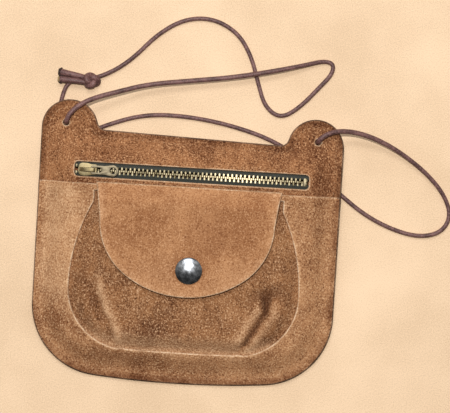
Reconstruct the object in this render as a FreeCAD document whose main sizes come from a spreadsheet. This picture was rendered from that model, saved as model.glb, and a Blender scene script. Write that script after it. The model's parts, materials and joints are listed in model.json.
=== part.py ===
"""Neck pouch wallet: a flat suede pouch with a zipped compartment, a flapped front pocket and a neck cord.

Frame: +X along the zip, +Y from the bottom edge towards the two ears, +Z up from the surface that the
pouch lies on. The origin is at the centre of the pouch's footprint. The pouch rests on the part of the
cord that runs behind it, so it leans by a few degrees about X. Its own pieces are drawn flat, with the
outer face of the back panel at height 0, and lay_down turns them into their place. Millimetres.
"""
import FreeCAD
import Part
import Sketcher
import math
import os

Vector = FreeCAD.Vector
UP = Vector(0, 0, 1)

# ---------------------------------------------------------------- driving dimensions
DIMENSIONS = {
    # the pouch's outline
    "half_width": 84.5, "bottom_edge": 77.5, "corner_radius": 40.0, "corner_height": 35.5,
    "crown_radius": 536.0, "ear_radius": 15.7, "ear_left_height": 62.5, "ear_right_height": 59.4,
    "ear_fillet": 4.5, "top_edge_left": 62.3, "top_edge_right": 59.5,
    "hole_radius": 1.7, "hole_left_across": 71.0, "hole_left_height": 65.2,
    "hole_right_across": 70.0, "hole_right_height": 62.6, "lean_angle": 3.0,
    # leather layers
    "leather": 1.2, "thin_leather": 0.8, "pocket_leather": 1.0, "flap_leather": 1.3,
    "rim": 6.0, "inner_rim": 6.5, "swell": 7.0, "swell_angle": 45.0, "swell_top": 57.0,
    "swell_top_radius": 12.0, "seam_height": 32.5,
    # zip window, chain and slider
    "window_left": 64.3, "window_right": 66.0, "window_centre": 40.1, "window_half": 4.0,
    "window_radius": 2.0, "chain_centre": 40.0, "tape_left": 68.0, "tape_right": 69.0,
    "tape_inner": 1.1, "tape_outer": 9.2, "tape_thick": 0.7, "tooth_pitch": 2.36,
    "tooth_count": 50.0, "tooth_first": 54.6, "tooth_thick": 1.1, "tooth_reach": 2.3,
    "tooth_head": 0.45, "tooth_half_height": 1.1, "slider_left": 62.3, "slider_length": 10.3,
    "slider_wide": 3.6, "slider_narrow": 2.95, "slider_plate": 0.9, "channel_half": 2.55,
    "channel_gap": 0.15, "crown_half": 1.1, "crown_height": 2.8, "pull_length": 14.9,
    "pull_half": 3.2, "pull_thick": 1.0, "pull_rise": 0.9, "pull_slot": 5.6, "pull_waist": 2.4,
    "pull_eye_half": 2.5, "pull_slot_half": 1.4, "pull_hole": 1.8, "pull_pin_half": 0.5,
    "stop_length": 1.3, "stop_gap": 0.4, "bottom_stop_length": 2.2, "bottom_stop_half": 2.2,
    # frame opening and pocket
    "opening_half": 52.5, "flare_height": 22.5, "opening_wide": 64.0, "opening_arc": 34.0,
    "opening_arc_height": 25.0, "flange": 2.0, "backing_top": 28.5, "pocket_inset": 1.5,
    "pocket_swell": 4.8, "pocket_angle": 40.0, "pocket_mouth": 14.0,
    # flap
    "flap_top": 25.7, "flap_top_half": 50.1, "flap_half": 48.7, "flap_side_end": 14.0,
    "flap_side_arc": 38.5, "flap_tip_arc": 56.4, "flap_rise": 2.4, "root_half": 50.5,
    "root_top": 33.8, "root_foot": 31.5, "root_end": 27.1, "root_drop": 1.8,
    # press stud
    "snap_across": 2.4, "snap_down": 12.5, "cap_radius": 7.5, "cap_height": 1.9,
    "cap_dome": 20.0, "cap_flat": 0.8,
    "socket_radius": 5.6, "socket_depth": 1.8, "socket_bore": 2.25, "stud_flange": 4.6,
    "stud_radius": 1.9, "stud_height": 1.9, "stud_base": 0.4, "shank_radius": 1.5,
    "post_radius": 4.6, "post_thick": 0.5,
    # cord
    "cord_radius": 1.25, "knot_long": 4.6, "knot_wide": 4.2, "knot_half_height": 3.0,
    "knot_across": 59.3, "knot_up": 90.2,
}

doc = FreeCAD.newDocument("neck_pouch_wallet")
sheet = doc.addObject("Spreadsheet::Sheet", "dims")
for row, (alias, number) in enumerate(DIMENSIONS.items(), start=1):
    sheet.set(f"A{row}", alias)
    sheet.set(f"B{row}", str(number))
    sheet.setAlias(f"B{row}", alias)
doc.recompute()


class Size:
    """A length that knows its value and the sheet expression that it comes from."""

    def __init__(self, text, value):
        self.text = text
        self.value = value

    def __add__(self, other):
        return Size(f"({self.text} + {of(other).text})", self.value + of(other).value)

    def __sub__(self, other):
        return Size(f"({self.text} - {of(other).text})", self.value - of(other).value)

    def __mul__(self, factor):
        return Size(f"({self.text} * {factor})", self.value * factor)

    def __neg__(self):
        return self * -1


def of(number):
    """A plain number as a Size, so that both mix in a sum."""
    return number if isinstance(number, Size) else Size(str(number), float(number))


class Sheet:
    """Reads dims.alias as a Size: size.rim is bound to the cell named rim."""

    def __getattr__(self, alias):
        return Size(f"dims.{alias}", float(sheet.get(alias)))


size = Sheet()

# heights above the back panel's outer face, layer by layer
back_top = size.leather
flange_top = back_top + size.leather
front_top = flange_top + size.swell
front_under = front_top - size.leather
pocket_flange_under = front_under - size.pocket_leather
backing_under = pocket_flange_under - size.thin_leather
pocket_under = pocket_flange_under + size.pocket_swell
pocket_top = pocket_under + size.pocket_leather
flap_under = pocket_top + size.flap_rise
flap_over = flap_under + size.flap_leather
chain_height = front_under - size.tape_thick * 0.5
plate_under = chain_height + size.tooth_half_height + size.channel_gap
plate_top = plate_under + size.slider_plate
pull_axis = plate_top + size.pull_rise

# places along the zip
last_tooth = -size.tooth_first + size.tooth_pitch * (size.tooth_count.value - 0.5)
zip_end = last_tooth + size.tooth_thick * 0.5 + 0.2
pull_pin_x = -size.slider_left + size.slider_length - 2.8

# ---------------------------------------------------------------- laying the pouch down
lean = math.radians(size.lean_angle.value)
ear_top = size.ear_left_height.value + size.ear_radius.value
low_y = -size.bottom_edge.value - flange_top.value * math.sin(lean)
high_y = -size.bottom_edge.value + (ear_top + size.bottom_edge.value) * math.cos(lean)
pivot = Vector(0, -size.bottom_edge.value, 0)
turn = FreeCAD.Rotation(Vector(1, 0, 0), size.lean_angle.value)
lay_down = FreeCAD.Placement(Vector(0, -(low_y + high_y) / 2, 0), turn, pivot)


# ---------------------------------------------------------------- sketch helpers
def vector(x, y):
    return Vector(of(x).value, of(y).value, 0)


def bind(sketch, kind, *where, to):
    """Adds a dimension and binds it to its sheet expression."""
    index = sketch.addConstraint(Sketcher.Constraint(kind, *where, of(to).value))
    sketch.setExpression(f"Constraints[{index}]", of(to).text)


def free_sketch(name, height):
    """A sketch of its own, parallel to the back panel at a height."""
    sketch = doc.addObject("Sketcher::SketchObject", name)
    sketch.Placement.Base.z = of(height).value
    sketch.setExpression("Placement.Base.z", of(height).text)
    return sketch


def body_sketch(owner, name, plane, height=0):
    """A sketch on one of a body's own origin planes, moved along the plane's normal."""
    sketch = owner.newObject("Sketcher::SketchObject", name)
    plane_object = [f for f in owner.Origin.OriginFeatures if f.Role == plane][0]
    sketch.AttachmentSupport = [(plane_object, "")]
    sketch.MapMode = "FlatFace"
    sketch.setExpression("AttachmentOffset.Base.z", of(height).text)
    return sketch


def arc(centre, radius, start, end):
    """A counterclockwise arc between two angles in degrees."""
    return Part.ArcOfCircle(Part.Circle(centre, UP, radius), math.radians(start), math.radians(end))


def arc_between(start, end, radius):
    """The short arc from start to end: counterclockwise where radius is positive."""
    chord = end - start
    rise = math.sqrt(radius ** 2 - (chord.Length / 2) ** 2)
    left = Vector(-chord.y, chord.x, 0).normalize()
    centre = (start + end) * 0.5 + left * math.copysign(rise, radius)
    angles = [math.atan2(p.y - centre.y, p.x - centre.x) for p in (start, end)]
    if radius < 0:
        angles.reverse()
    return Part.ArcOfCircle(Part.Circle(centre, UP, abs(radius)), *angles)


def chain(sketch, curves):
    """Adds curves end to end as one closed wire. Each is (curve, forwards, joint with the next)."""
    first = sketch.GeometryCount
    for curve, _, _ in curves:
        sketch.addGeometry(curve)
    for i, (_, forwards, joint) in enumerate(curves):
        after = (i + 1) % len(curves)
        leaves = 2 if forwards else 1
        enters = 1 if curves[after][1] else 2
        sketch.addConstraint(Sketcher.Constraint(joint, first + i, leaves, first + after, enters))
    return first


def corners(sketch, points):
    """A closed outline through points. A third entry is the radius of the arc that leads to it."""
    curves = []
    for i, point in enumerate(points):
        start, end = vector(*points[i - 1][:2]), vector(*point[:2])
        radius = of(point[2]).value if len(point) > 2 else 0
        curve = arc_between(start, end, radius) if radius else Part.LineSegment(start, end)
        curves.append((curve, radius >= 0, "Coincident"))
    first = chain(sketch, curves)
    for i, point in enumerate(points):
        end = 2 if curves[i][1] else 1
        bind(sketch, "DistanceX", first + i, end, to=point[0])
        bind(sketch, "DistanceY", first + i, end, to=point[1])
        if len(point) > 2:
            bind(sketch, "Radius", first + i, to=Size(f"abs({of(point[2]).text})", abs(of(point[2]).value)))
    return sketch


def rectangle(sketch, x_low, x_high, y_low, y_high):
    return corners(sketch, [(x_low, y_low), (x_high, y_low), (x_high, y_high), (x_low, y_high)])


# ---------------------------------------------------------------- solid helpers
nodes = []


def node(item, label, placement=None):
    """Names a finished sub-part and lays it down with the pouch."""
    item.Label = label
    if placement is not None:
        item.Placement = placement
    nodes.append(item)
    return item


def raised(name, base, thickness, taper=0):
    """Extrudes a flat outline upwards. A taper in degrees draws the walls inwards as they rise."""
    solid = doc.addObject("Part::Extrusion", name)
    solid.Base = base
    solid.DirMode = "Custom"
    solid.Dir = UP
    solid.Solid = True
    solid.setExpression("LengthFwd", of(thickness).text)
    if taper:
        solid.setExpression("TaperAngle", (-taper).text)
    return solid


def inset(name, base, distance):
    """The outline moved inwards by a distance, or outwards where it is negative."""
    outline = doc.addObject("Part::Offset2D", name)
    outline.Source = base
    outline.setExpression("Value", (-of(distance)).text)
    return outline


def both(kind, name, base, tool):
    """A boolean of two objects: Cut, Common or Fuse."""
    result = doc.addObject("Part::" + kind, name)
    result.Base = base
    result.Tool = tool
    return result


def block(name, x_low, x_high, y_low, y_high, z_low, z_high):
    """A box between limits, each bound to the sheet."""
    box = doc.addObject("Part::Box", name)
    for prop, low, high in (("x", x_low, x_high), ("y", y_low, y_high), ("z", z_low, z_high)):
        box.setExpression(f"Placement.Base.{prop}", of(low).text)
        side = {"x": "Length", "y": "Width", "z": "Height"}[prop]
        box.setExpression(side, (of(high) - low).text)
    return box


def drill(name, x, y, radius, z_low, z_high):
    """An upright cylinder that cuts a round hole."""
    rod = doc.addObject("Part::Cylinder", name)
    rod.setExpression("Radius", of(radius).text)
    rod.setExpression("Height", (of(z_high) - z_low).text)
    rod.setExpression("Placement.Base.x", of(x).text)
    rod.setExpression("Placement.Base.y", of(y).text)
    rod.setExpression("Placement.Base.z", of(z_low).text)
    return rod


def several(name, items):
    """One object that holds several others, to cut them all at once."""
    group = doc.addObject("Part::MultiFuse", name)
    group.Shapes = items
    return group


def body(name):
    return doc.addObject("PartDesign::Body", name)


def pad(owner, sketch, length, both_ways=False):
    feature = owner.newObject("PartDesign::Pad", sketch.Name + "_pad")
    feature.Profile = sketch
    feature.setExpression("Length", of(length).text)
    feature.Midplane = both_ways
    return feature


def pocket(owner, sketch, length, both_ways=False):
    feature = owner.newObject("PartDesign::Pocket", sketch.Name + "_cut")
    feature.Profile = sketch
    feature.setExpression("Length", of(length).text)
    feature.Midplane = both_ways
    return feature


def turned(label, points):
    """A round piece about the press stud's centre line, from half of its section (radius, height)."""
    owner = body(label + "_body")
    sketch = corners(body_sketch(owner, label + "_section", "XZ_Plane"), points)
    feature = owner.newObject("PartDesign::Revolution", label + "_turned")
    feature.Profile = sketch
    feature.ReferenceAxis = (sketch, ["V_Axis"])
    feature.Angle = 360
    at_snap = FreeCAD.Placement(vector(size.snap_across, -size.snap_down), FreeCAD.Rotation())
    return node(owner, label, lay_down * at_snap)


# ---------------------------------------------------------------- outlines
def pouch_outline(name, height):
    """Straight sides, a slightly crowned bottom and two round ears that run into the top edge."""
    sketch = free_sketch(name, height)
    half, low, corner = size.half_width.value, -size.corner_height.value, size.corner_radius.value
    ear, fillet = size.ear_radius.value, size.ear_fillet.value
    crown = size.crown_radius.value
    inner = half - corner
    swing = math.degrees(math.asin(inner / (crown - corner)))
    crown_centre = Vector(0, low + math.sqrt((crown - corner) ** 2 - inner ** 2), 0)
    ears = []
    for side, ear_y, edge_y in ((1, size.ear_right_height.value, size.top_edge_right.value),
                                (-1, size.ear_left_height.value, size.top_edge_left.value)):
        centre = Vector(side * (half - ear), ear_y, 0)
        rise = edge_y + fillet - ear_y
        reach = math.sqrt((ear + fillet) ** 2 - rise ** 2)
        ears.append((centre, Vector(centre.x - side * reach, edge_y + fillet, 0),
                     math.degrees(math.atan2(rise, reach))))
    (right, right_fillet, right_angle), (left, left_fillet, left_angle) = ears
    down = Vector(0, -fillet, 0)
    chain(sketch, [
        (arc(crown_centre, crown, -90 - swing, -90 + swing), True, "Tangent"),
        (arc(Vector(inner, low, 0), corner, -90 + swing, 0), True, "Tangent"),
        (Part.LineSegment(Vector(half, low, 0), Vector(half, right.y, 0)), True, "Tangent"),
        (arc(right, ear, 0, 180 - right_angle), True, "Tangent"),
        (arc(right_fillet, fillet, -90, -right_angle), False, "Tangent"),
        (Part.LineSegment(right_fillet + down, left_fillet + down), True, "Tangent"),
        (arc(left_fillet, fillet, -180 + left_angle, -90), False, "Tangent"),
        (arc(left, ear, left_angle, 180), True, "Tangent"),
        (Part.LineSegment(Vector(-half, left.y, 0), Vector(-half, low, 0)), True, "Tangent"),
        (arc(Vector(-inner, low, 0), corner, 180, 270 - swing), True, "Tangent"),
    ])
    bind(sketch, "Radius", 0, to=size.crown_radius)
    for curve, side in ((1, 1), (9, -1)):
        bind(sketch, "Radius", curve, to=size.corner_radius)
        bind(sketch, "DistanceX", curve, 3, to=(size.half_width - size.corner_radius) * side)
        bind(sketch, "DistanceY", curve, 3, to=-size.corner_height)
    for side_line in (2, 8):
        sketch.addConstraint(Sketcher.Constraint("Vertical", side_line))
    for curve, height_up in ((3, size.ear_right_height), (7, size.ear_left_height)):
        bind(sketch, "Radius", curve, to=size.ear_radius)
        bind(sketch, "DistanceY", curve, 3, to=height_up)
    for curve in (4, 6):
        bind(sketch, "Radius", curve, to=size.ear_fillet)
    bind(sketch, "DistanceY", 5, 1, to=size.top_edge_right)
    bind(sketch, "DistanceY", 5, 2, to=size.top_edge_left)
    return sketch


def swell_outline(name, height):
    """Where the front leaves the back panel: inside the sewn rim, and below the ears."""
    sketch = free_sketch(name, height)
    half = (size.half_width - size.rim).value
    corner = (size.corner_radius - size.rim).value
    crown = (size.crown_radius - size.rim).value
    low, top, bend = -size.corner_height.value, size.swell_top.value, size.swell_top_radius.value
    inner = half - corner
    swing = math.degrees(math.asin(inner / (crown - corner)))
    crown_centre = Vector(0, low + math.sqrt((crown - corner) ** 2 - inner ** 2), 0)
    chain(sketch, [
        (arc(crown_centre, crown, -90 - swing, -90 + swing), True, "Tangent"),
        (arc(Vector(inner, low, 0), corner, -90 + swing, 0), True, "Tangent"),
        (Part.LineSegment(Vector(half, low, 0), Vector(half, top - bend, 0)), True, "Tangent"),
        (arc(Vector(half - bend, top - bend, 0), bend, 0, 90), True, "Tangent"),
        (Part.LineSegment(Vector(half - bend, top, 0), Vector(bend - half, top, 0)), True, "Tangent"),
        (arc(Vector(bend - half, top - bend, 0), bend, 90, 180), True, "Tangent"),
        (Part.LineSegment(Vector(-half, top - bend, 0), Vector(-half, low, 0)), True, "Tangent"),
        (arc(Vector(-inner, low, 0), corner, 180, 270 - swing), True, "Tangent"),
    ])
    bind(sketch, "Radius", 0, to=size.crown_radius - size.rim)
    for curve, side in ((1, 1), (7, -1)):
        bind(sketch, "Radius", curve, to=size.corner_radius - size.rim)
        bind(sketch, "DistanceX", curve, 3, to=(size.half_width - size.corner_radius) * side)
        bind(sketch, "DistanceY", curve, 3, to=-size.corner_height)
    for side_line in (2, 6):
        sketch.addConstraint(Sketcher.Constraint("Vertical", side_line))
    for curve in (3, 5):
        bind(sketch, "Radius", curve, to=size.swell_top_radius)
    bind(sketch, "DistanceY", 4, 1, to=size.swell_top)
    sketch.addConstraint(Sketcher.Constraint("Horizontal", 4))
    return sketch


def opening_outline(name, height):
    """The bib-shaped opening in the frame: upright at the top, flared, and round at the bottom."""
    sketch = free_sketch(name, height)
    top, half, wide = size.seam_height + 2, size.opening_half, size.opening_wide
    low = -size.opening_arc_height
    drop = (size.flare_height - low).value
    step = (wide - half).value
    flare = (drop ** 2 + step ** 2) / (2 * step)
    bottom_half = wide - size.opening_arc
    bottom = low - size.opening_arc
    points = [vector(half, top), vector(half, size.flare_height), vector(wide, low),
              vector(bottom_half, bottom)]
    mirrored = [Vector(-p.x, p.y, 0) for p in points]
    arc_radius = size.opening_arc.value
    chain(sketch, [
        (Part.LineSegment(points[0], points[1]), True, "Coincident"),
        (arc_between(points[1], points[2], -flare), False, "Tangent"),
        (arc_between(points[2], points[3], -arc_radius), False, "Tangent"),
        (Part.LineSegment(points[3], mirrored[3]), True, "Tangent"),
        (arc_between(mirrored[3], mirrored[2], -arc_radius), False, "Tangent"),
        (arc_between(mirrored[2], mirrored[1], -flare), False, "Coincident"),
        (Part.LineSegment(mirrored[1], mirrored[0]), True, "Coincident"),
        (Part.LineSegment(mirrored[0], points[0]), True, "Coincident"),
    ])
    for curve in (2, 4):
        bind(sketch, "Radius", curve, to=size.opening_arc)
    for curve, side in ((0, 1), (6, -1)):
        sketch.addConstraint(Sketcher.Constraint("Vertical", curve))
        bind(sketch, "DistanceX", curve, 1, to=half * side)
    bind(sketch, "DistanceY", 0, 2, to=size.flare_height)
    bind(sketch, "DistanceY", 6, 1, to=size.flare_height)
    bind(sketch, "DistanceY", 0, 1, to=top)
    sketch.addConstraint(Sketcher.Constraint("Horizontal", 7))
    for curve, side in ((2, 1), (4, -1)):
        bind(sketch, "DistanceX", curve, 3, to=bottom_half * side)
        bind(sketch, "DistanceY", curve, 3, to=low)
    return sketch


def window_outline(name, height):
    """The zip's window: a long rectangle with round corners."""
    sketch = free_sketch(name, height)
    left, right, bend = -size.window_left, size.window_right, size.window_radius
    low, high = size.window_centre - size.window_half, size.window_centre + size.window_half
    return corners(sketch, [
        (right - bend, low), (right, low + bend, bend), (right, high - bend),
        (right - bend, high, bend), (left + bend, high), (left, high - bend, bend),
        (left, low + bend), (left + bend, low, bend)])


# ---------------------------------------------------------------- leather
def ear_holes(name, z_low, z_high):
    left = drill(name + "_left", -size.hole_left_across, size.hole_left_height, size.hole_radius,
                 z_low, z_high)
    right = drill(name + "_right", size.hole_right_across, size.hole_right_height, size.hole_radius,
                  z_low, z_high)
    return several(name, [left, right])


def back_panel():
    plate = raised("back_plate", pouch_outline("back_outline", 0), size.leather)
    holes = ear_holes("back_holes", -1, back_top + 1)
    node(both("Cut", "back_cut", plate, holes), "back_panel", lay_down)


def front_shell():
    """The front's leather as one shell: a flat sewn rim and ears, and a swell over the compartment."""
    rim = raised("rim_plate", pouch_outline("rim_outline", back_top), size.leather)
    outer = raised("swell_outer", swell_outline("swell_outer_outline", flange_top), size.swell,
                   size.swell_angle)
    inner_outline = inset("swell_inner_outline", swell_outline("swell_inner_base", back_top),
                          size.inner_rim - size.rim)
    inner = raised("swell_inner", inner_outline, size.swell, size.swell_angle)
    filled = both("Fuse", "front_filled", rim, outer)
    return both("Cut", "front_shell", filled, inner)


def front_yoke(shell):
    reach = size.half_width + 10
    above = block("above_seam", -reach, reach, size.seam_height, size.half_width + 10, 0, front_top + 2)
    upper = both("Common", "yoke_blank", shell, above)
    window = raised("window_cutter", window_outline("window", front_under - 2), size.leather + 4)
    cutters = several("yoke_cutters", [window, ear_holes("yoke_holes", back_top - 1, flange_top + 1)])
    node(both("Cut", "yoke_cut", upper, cutters), "front_yoke", lay_down)


def front_frame(shell):
    reach = size.half_width + 10
    below = block("below_seam", -reach, reach, -reach, size.seam_height, 0, front_top + 2)
    lower = both("Common", "frame_blank", shell, below)
    opening = raised("opening_cutter", opening_outline("opening", front_under - 2), size.leather + 4)
    node(both("Cut", "frame_cut", lower, opening), "front_frame", lay_down)


def pocket_backing():
    outline = inset("backing_outline", opening_outline("backing_base", backing_under), -size.flange)
    sheet_leather = raised("backing_sheet", outline, size.thin_leather)
    reach = size.half_width
    below = block("below_backing_top", -reach, reach, -reach, size.backing_top, 0, front_top)
    node(both("Common", "backing_cut", sheet_leather, below), "pocket_backing", lay_down)


def pocket_pouch():
    """The pocket's front: a flange under the frame's cut edge and a swell with its mouth at the top."""
    flange = raised("pocket_flange", inset("pocket_flange_outline", opening_outline(
        "pocket_flange_base", pocket_flange_under), -size.flange), size.pocket_leather)
    outer = raised("pocket_outer", inset("pocket_outer_outline", opening_outline(
        "pocket_outer_base", front_under), size.pocket_inset), size.pocket_swell, size.pocket_angle)
    inner = raised("pocket_inner", inset("pocket_inner_outline", opening_outline(
        "pocket_inner_base", pocket_flange_under), size.pocket_inset + size.pocket_leather),
        size.pocket_swell, size.pocket_angle)
    shell = both("Cut", "pocket_shell", both("Fuse", "pocket_filled", flange, outer), inner)
    reach = size.half_width
    below = block("below_mouth", -reach, reach, -reach, size.pocket_mouth, 0, flap_over)
    panel = both("Common", "pocket_blank", shell, below)
    hole = drill("stud_hole", size.snap_across, -size.snap_down, size.shank_radius,
                 pocket_under - 1, pocket_top + 1)
    node(both("Cut", "pocket_cut", panel, hole), "pocket_pouch", lay_down)


def flap_root():
    """The flap's sewn edge: flat on the seam, then rising to the fold over the pocket's mouth."""
    owner = body("flap_root_body")
    end_under = flap_under - size.root_drop
    sketch = corners(body_sketch(owner, "root_section", "YZ_Plane"), [
        (size.root_top, front_top), (size.root_top, front_top + size.flap_leather),
        (size.root_foot + 0.5, front_top + size.flap_leather),
        (size.root_end, end_under + size.flap_leather), (size.root_end, end_under),
        (size.root_foot, front_top)])
    pad(owner, sketch, size.root_half * 2, both_ways=True)
    node(owner, "flap_root", lay_down)


def flap():
    """The swinging flap: nearly straight sides and a broad round tip, with a hole for the cap."""
    owner = body("flap_body")
    sketch = body_sketch(owner, "flap_outline", "XY_Plane", flap_under)
    side_arc, tip_arc = size.flap_side_arc.value, size.flap_tip_arc.value
    top_y, side_y, half = size.flap_top.value, size.flap_side_end.value, size.flap_half.value
    top_half, inner = size.flap_top_half.value, half - side_arc
    swing = math.degrees(math.asin(inner / (tip_arc - side_arc)))
    tip_centre = Vector(0, side_y + math.sqrt((tip_arc - side_arc) ** 2 - inner ** 2), 0)
    chain(sketch, [
        (arc(tip_centre, tip_arc, -90 - swing, -90 + swing), True, "Tangent"),
        (arc(Vector(inner, side_y, 0), side_arc, -90 + swing, 0), True, "Coincident"),
        (Part.LineSegment(Vector(half, side_y, 0), Vector(top_half, top_y, 0)), True, "Coincident"),
        (Part.LineSegment(Vector(top_half, top_y, 0), Vector(-top_half, top_y, 0)), True, "Coincident"),
        (Part.LineSegment(Vector(-top_half, top_y, 0), Vector(-half, side_y, 0)), True, "Coincident"),
        (arc(Vector(-inner, side_y, 0), side_arc, 180, 270 - swing), True, "Tangent"),
    ])
    bind(sketch, "Radius", 0, to=size.flap_tip_arc)
    for curve, side in ((1, 1), (5, -1)):
        bind(sketch, "Radius", curve, to=size.flap_side_arc)
        bind(sketch, "DistanceX", curve, 3, to=(size.flap_half - size.flap_side_arc) * side)
        bind(sketch, "DistanceY", curve, 3, to=size.flap_side_end)
    bind(sketch, "DistanceY", 2, 1, to=size.flap_side_end)
    bind(sketch, "DistanceY", 4, 2, to=size.flap_side_end)
    for end, side in ((1, 1), (2, -1)):
        bind(sketch, "DistanceX", 3, end, to=size.flap_top_half * side)
        bind(sketch, "DistanceY", 3, end, to=size.flap_top)
    pad(owner, sketch, size.flap_leather)
    hole = body_sketch(owner, "cap_hole", "XY_Plane", flap_over)
    hole.addGeometry(Part.Circle(vector(size.snap_across, -size.snap_down), UP, size.shank_radius.value))
    bind(hole, "Radius", 0, to=size.shank_radius)
    bind(hole, "DistanceX", 0, 3, to=size.snap_across)
    bind(hole, "DistanceY", 0, 3, to=-size.snap_down)
    pocket(owner, hole, size.flap_leather)
    node(owner, "flap", lay_down)


# ---------------------------------------------------------------- press stud
def press_stud():
    """Cap and socket clench the flap, stud and post clench the pocket, and the stud clips the socket."""
    cap_top = flap_over + size.cap_height
    turned("snap_cap", [
        (0, flap_under), (size.shank_radius, flap_under), (size.shank_radius, flap_over),
        (size.cap_radius - 0.4, flap_over), (size.cap_radius, flap_over + 0.5, size.cap_height * 0.3),
        (size.cap_flat, cap_top, size.cap_dome), (0, cap_top)])
    bottom = flap_under - size.socket_depth
    turned("snap_socket", [
        (size.socket_bore, bottom), (size.socket_radius - 0.6, bottom),
        (size.socket_radius, flap_under - 0.4), (size.socket_radius, flap_under), (0, flap_under),
        (0, flap_under - 0.3), (size.socket_bore, flap_under - 0.3)])
    base_top = pocket_top + size.stud_base
    stud_top = pocket_top + size.stud_height
    turned("snap_stud", [
        (0, pocket_top), (size.stud_flange, pocket_top), (size.stud_flange, base_top),
        (size.stud_radius - 0.3, base_top), (size.stud_radius - 0.3, base_top + 0.4),
        (size.stud_radius, base_top + 0.8), (size.stud_radius - 0.5, stud_top), (0, stud_top)])
    turned("snap_post", [
        (0, pocket_under - size.post_thick), (size.post_radius, pocket_under - size.post_thick),
        (size.post_radius, pocket_under), (size.shank_radius, pocket_under),
        (size.shank_radius, pocket_top), (0, pocket_top)])


# ---------------------------------------------------------------- zip
def zip_tape(label, side):
    """One woven tape, sewn under the window, with its bead along the chain."""
    owner = body(label + "_body")
    sketch = body_sketch(owner, label + "_outline", "XY_Plane", chain_height - size.tape_thick * 0.5)
    edges = sorted([size.chain_centre + size.tape_inner * side, size.chain_centre + size.tape_outer * side],
                   key=lambda edge: edge.value)
    rectangle(sketch, -size.tape_left, size.tape_right, *edges)
    pad(owner, sketch, size.tape_thick)
    node(owner, label, lay_down)


def tooth(x, side):
    """A tooth clenched on the tape: a head across the centre line and two legs round the bead."""
    thick, reach, head = size.tooth_thick.value, size.tooth_reach.value, size.tooth_head.value
    half, grip = size.tooth_half_height.value, size.tape_thick.value / 2
    inner = size.tape_inner.value - 0.1
    section = [(-head, -half * 0.7), (0.2, -half), (reach, -half * 0.8), (reach, -grip), (inner, -grip),
               (inner, grip), (reach, grip), (reach, half * 0.8), (0.2, half), (-head, half * 0.7)]
    centre_y, centre_z = size.chain_centre.value, chain_height.value
    points = [Vector(x - thick / 2, centre_y + side * y, centre_z + z) for y, z in section]
    face = Part.Face(Part.makePolygon(points + points[:1]))
    return face.extrude(Vector(thick, 0, 0))


def zip_teeth(label, side, start):
    """One row of teeth, a pitch apart."""
    row = [tooth(start + i * size.tooth_pitch.value, side) for i in range(int(size.tooth_count.value))]
    group = doc.addObject("Part::Feature", label + "_row")
    group.Shape = Part.makeCompound(row)
    node(group, label, lay_down)


def zip_stops():
    """Two top stops at the end of the tapes, and one bottom stop that joins the rows."""
    left = -size.slider_left - size.stop_gap
    low, high = chain_height - size.tooth_half_height, chain_height + size.tooth_half_height
    stops = []
    for name, side in (("upper", 1), ("lower", -1)):
        edges = sorted([size.chain_centre + 1.2 * side, size.chain_centre + 2.4 * side],
                       key=lambda edge: edge.value)
        stop = block("top_stop_" + name, left - size.stop_length, left, edges[0], edges[1], low, high)
        stops.append(stop)
    tape_gap = block("top_stop_gap", left - 2, left + 1, size.chain_centre - 5, size.chain_centre + 5,
                     chain_height - size.tape_thick * 0.5, chain_height + size.tape_thick * 0.5)
    pair = several("top_stop_pair", stops)
    node(both("Cut", "top_stops_cut", pair, tape_gap), "zip_top_stops", lay_down)
    start = zip_end
    bottom = block("bottom_stop_block", start, start + size.bottom_stop_length,
                   size.chain_centre - size.bottom_stop_half, size.chain_centre + size.bottom_stop_half,
                   low, high)
    slots = []
    for name, side in (("upper", 1), ("lower", -1)):
        edges = sorted([size.chain_centre + size.tape_inner * side, size.chain_centre + 5 * side],
                       key=lambda edge: edge.value)
        slots.append(block("bottom_stop_slot_" + name, start - 1, start + 4, edges[0], edges[1],
                           chain_height - size.tape_thick * 0.5, chain_height + size.tape_thick * 0.5))
    node(both("Cut", "bottom_stop_cut", bottom, several("bottom_stop_slots", slots)), "zip_bottom_stop",
         lay_down)


def slider_body():
    """Two plates, wide where the rows part and narrow where they close, with flanges and a post."""
    left, centre = -size.slider_left, size.chain_centre
    right = left + size.slider_length
    wide, narrow = size.slider_wide, size.slider_narrow
    low = chain_height - size.tooth_half_height - size.channel_gap - size.slider_plate
    outline = free_sketch("slider_outline", low)
    corners(outline, [
        (left + 1.2, centre - wide), (left + 5.0, centre - wide), (left + 7.5, centre - narrow),
        (right - 0.6, centre - narrow), (right, centre - narrow + 0.6), (right, centre + narrow - 0.6),
        (right - 0.6, centre + narrow), (left + 7.5, centre + narrow), (left + 5.0, centre + wide),
        (left + 1.2, centre + wide), (left, centre + wide - 1.2), (left, centre - wide + 1.2)])
    blank = raised("slider_blank", outline, plate_top - low)
    channel = block("slider_channel", left - 1, right + 1, centre - size.channel_half,
                    centre + size.channel_half, low + size.slider_plate, plate_under)
    tape_way = block("slider_tape_way", left - 1, right + 1, centre - 6, centre + 6,
                     chain_height - size.tape_thick * 0.5 - 0.25, chain_height + size.tape_thick * 0.5 + 0.25)
    mouth = block("slider_mouth", left - 1, left + 5.0, centre - 6, centre + 6, low + size.slider_plate,
                  plate_under)
    hollow = both("Cut", "slider_hollow", blank, several("slider_ways", [channel, tape_way, mouth]))
    post = block("slider_post", left + 1.0, left + 3.4, centre - 0.8, centre + 0.8,
                 low + size.slider_plate * 0.5, plate_under + size.slider_plate * 0.5)
    node(both("Fuse", "slider_whole", hollow, post), "slider_body", lay_down)


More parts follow.
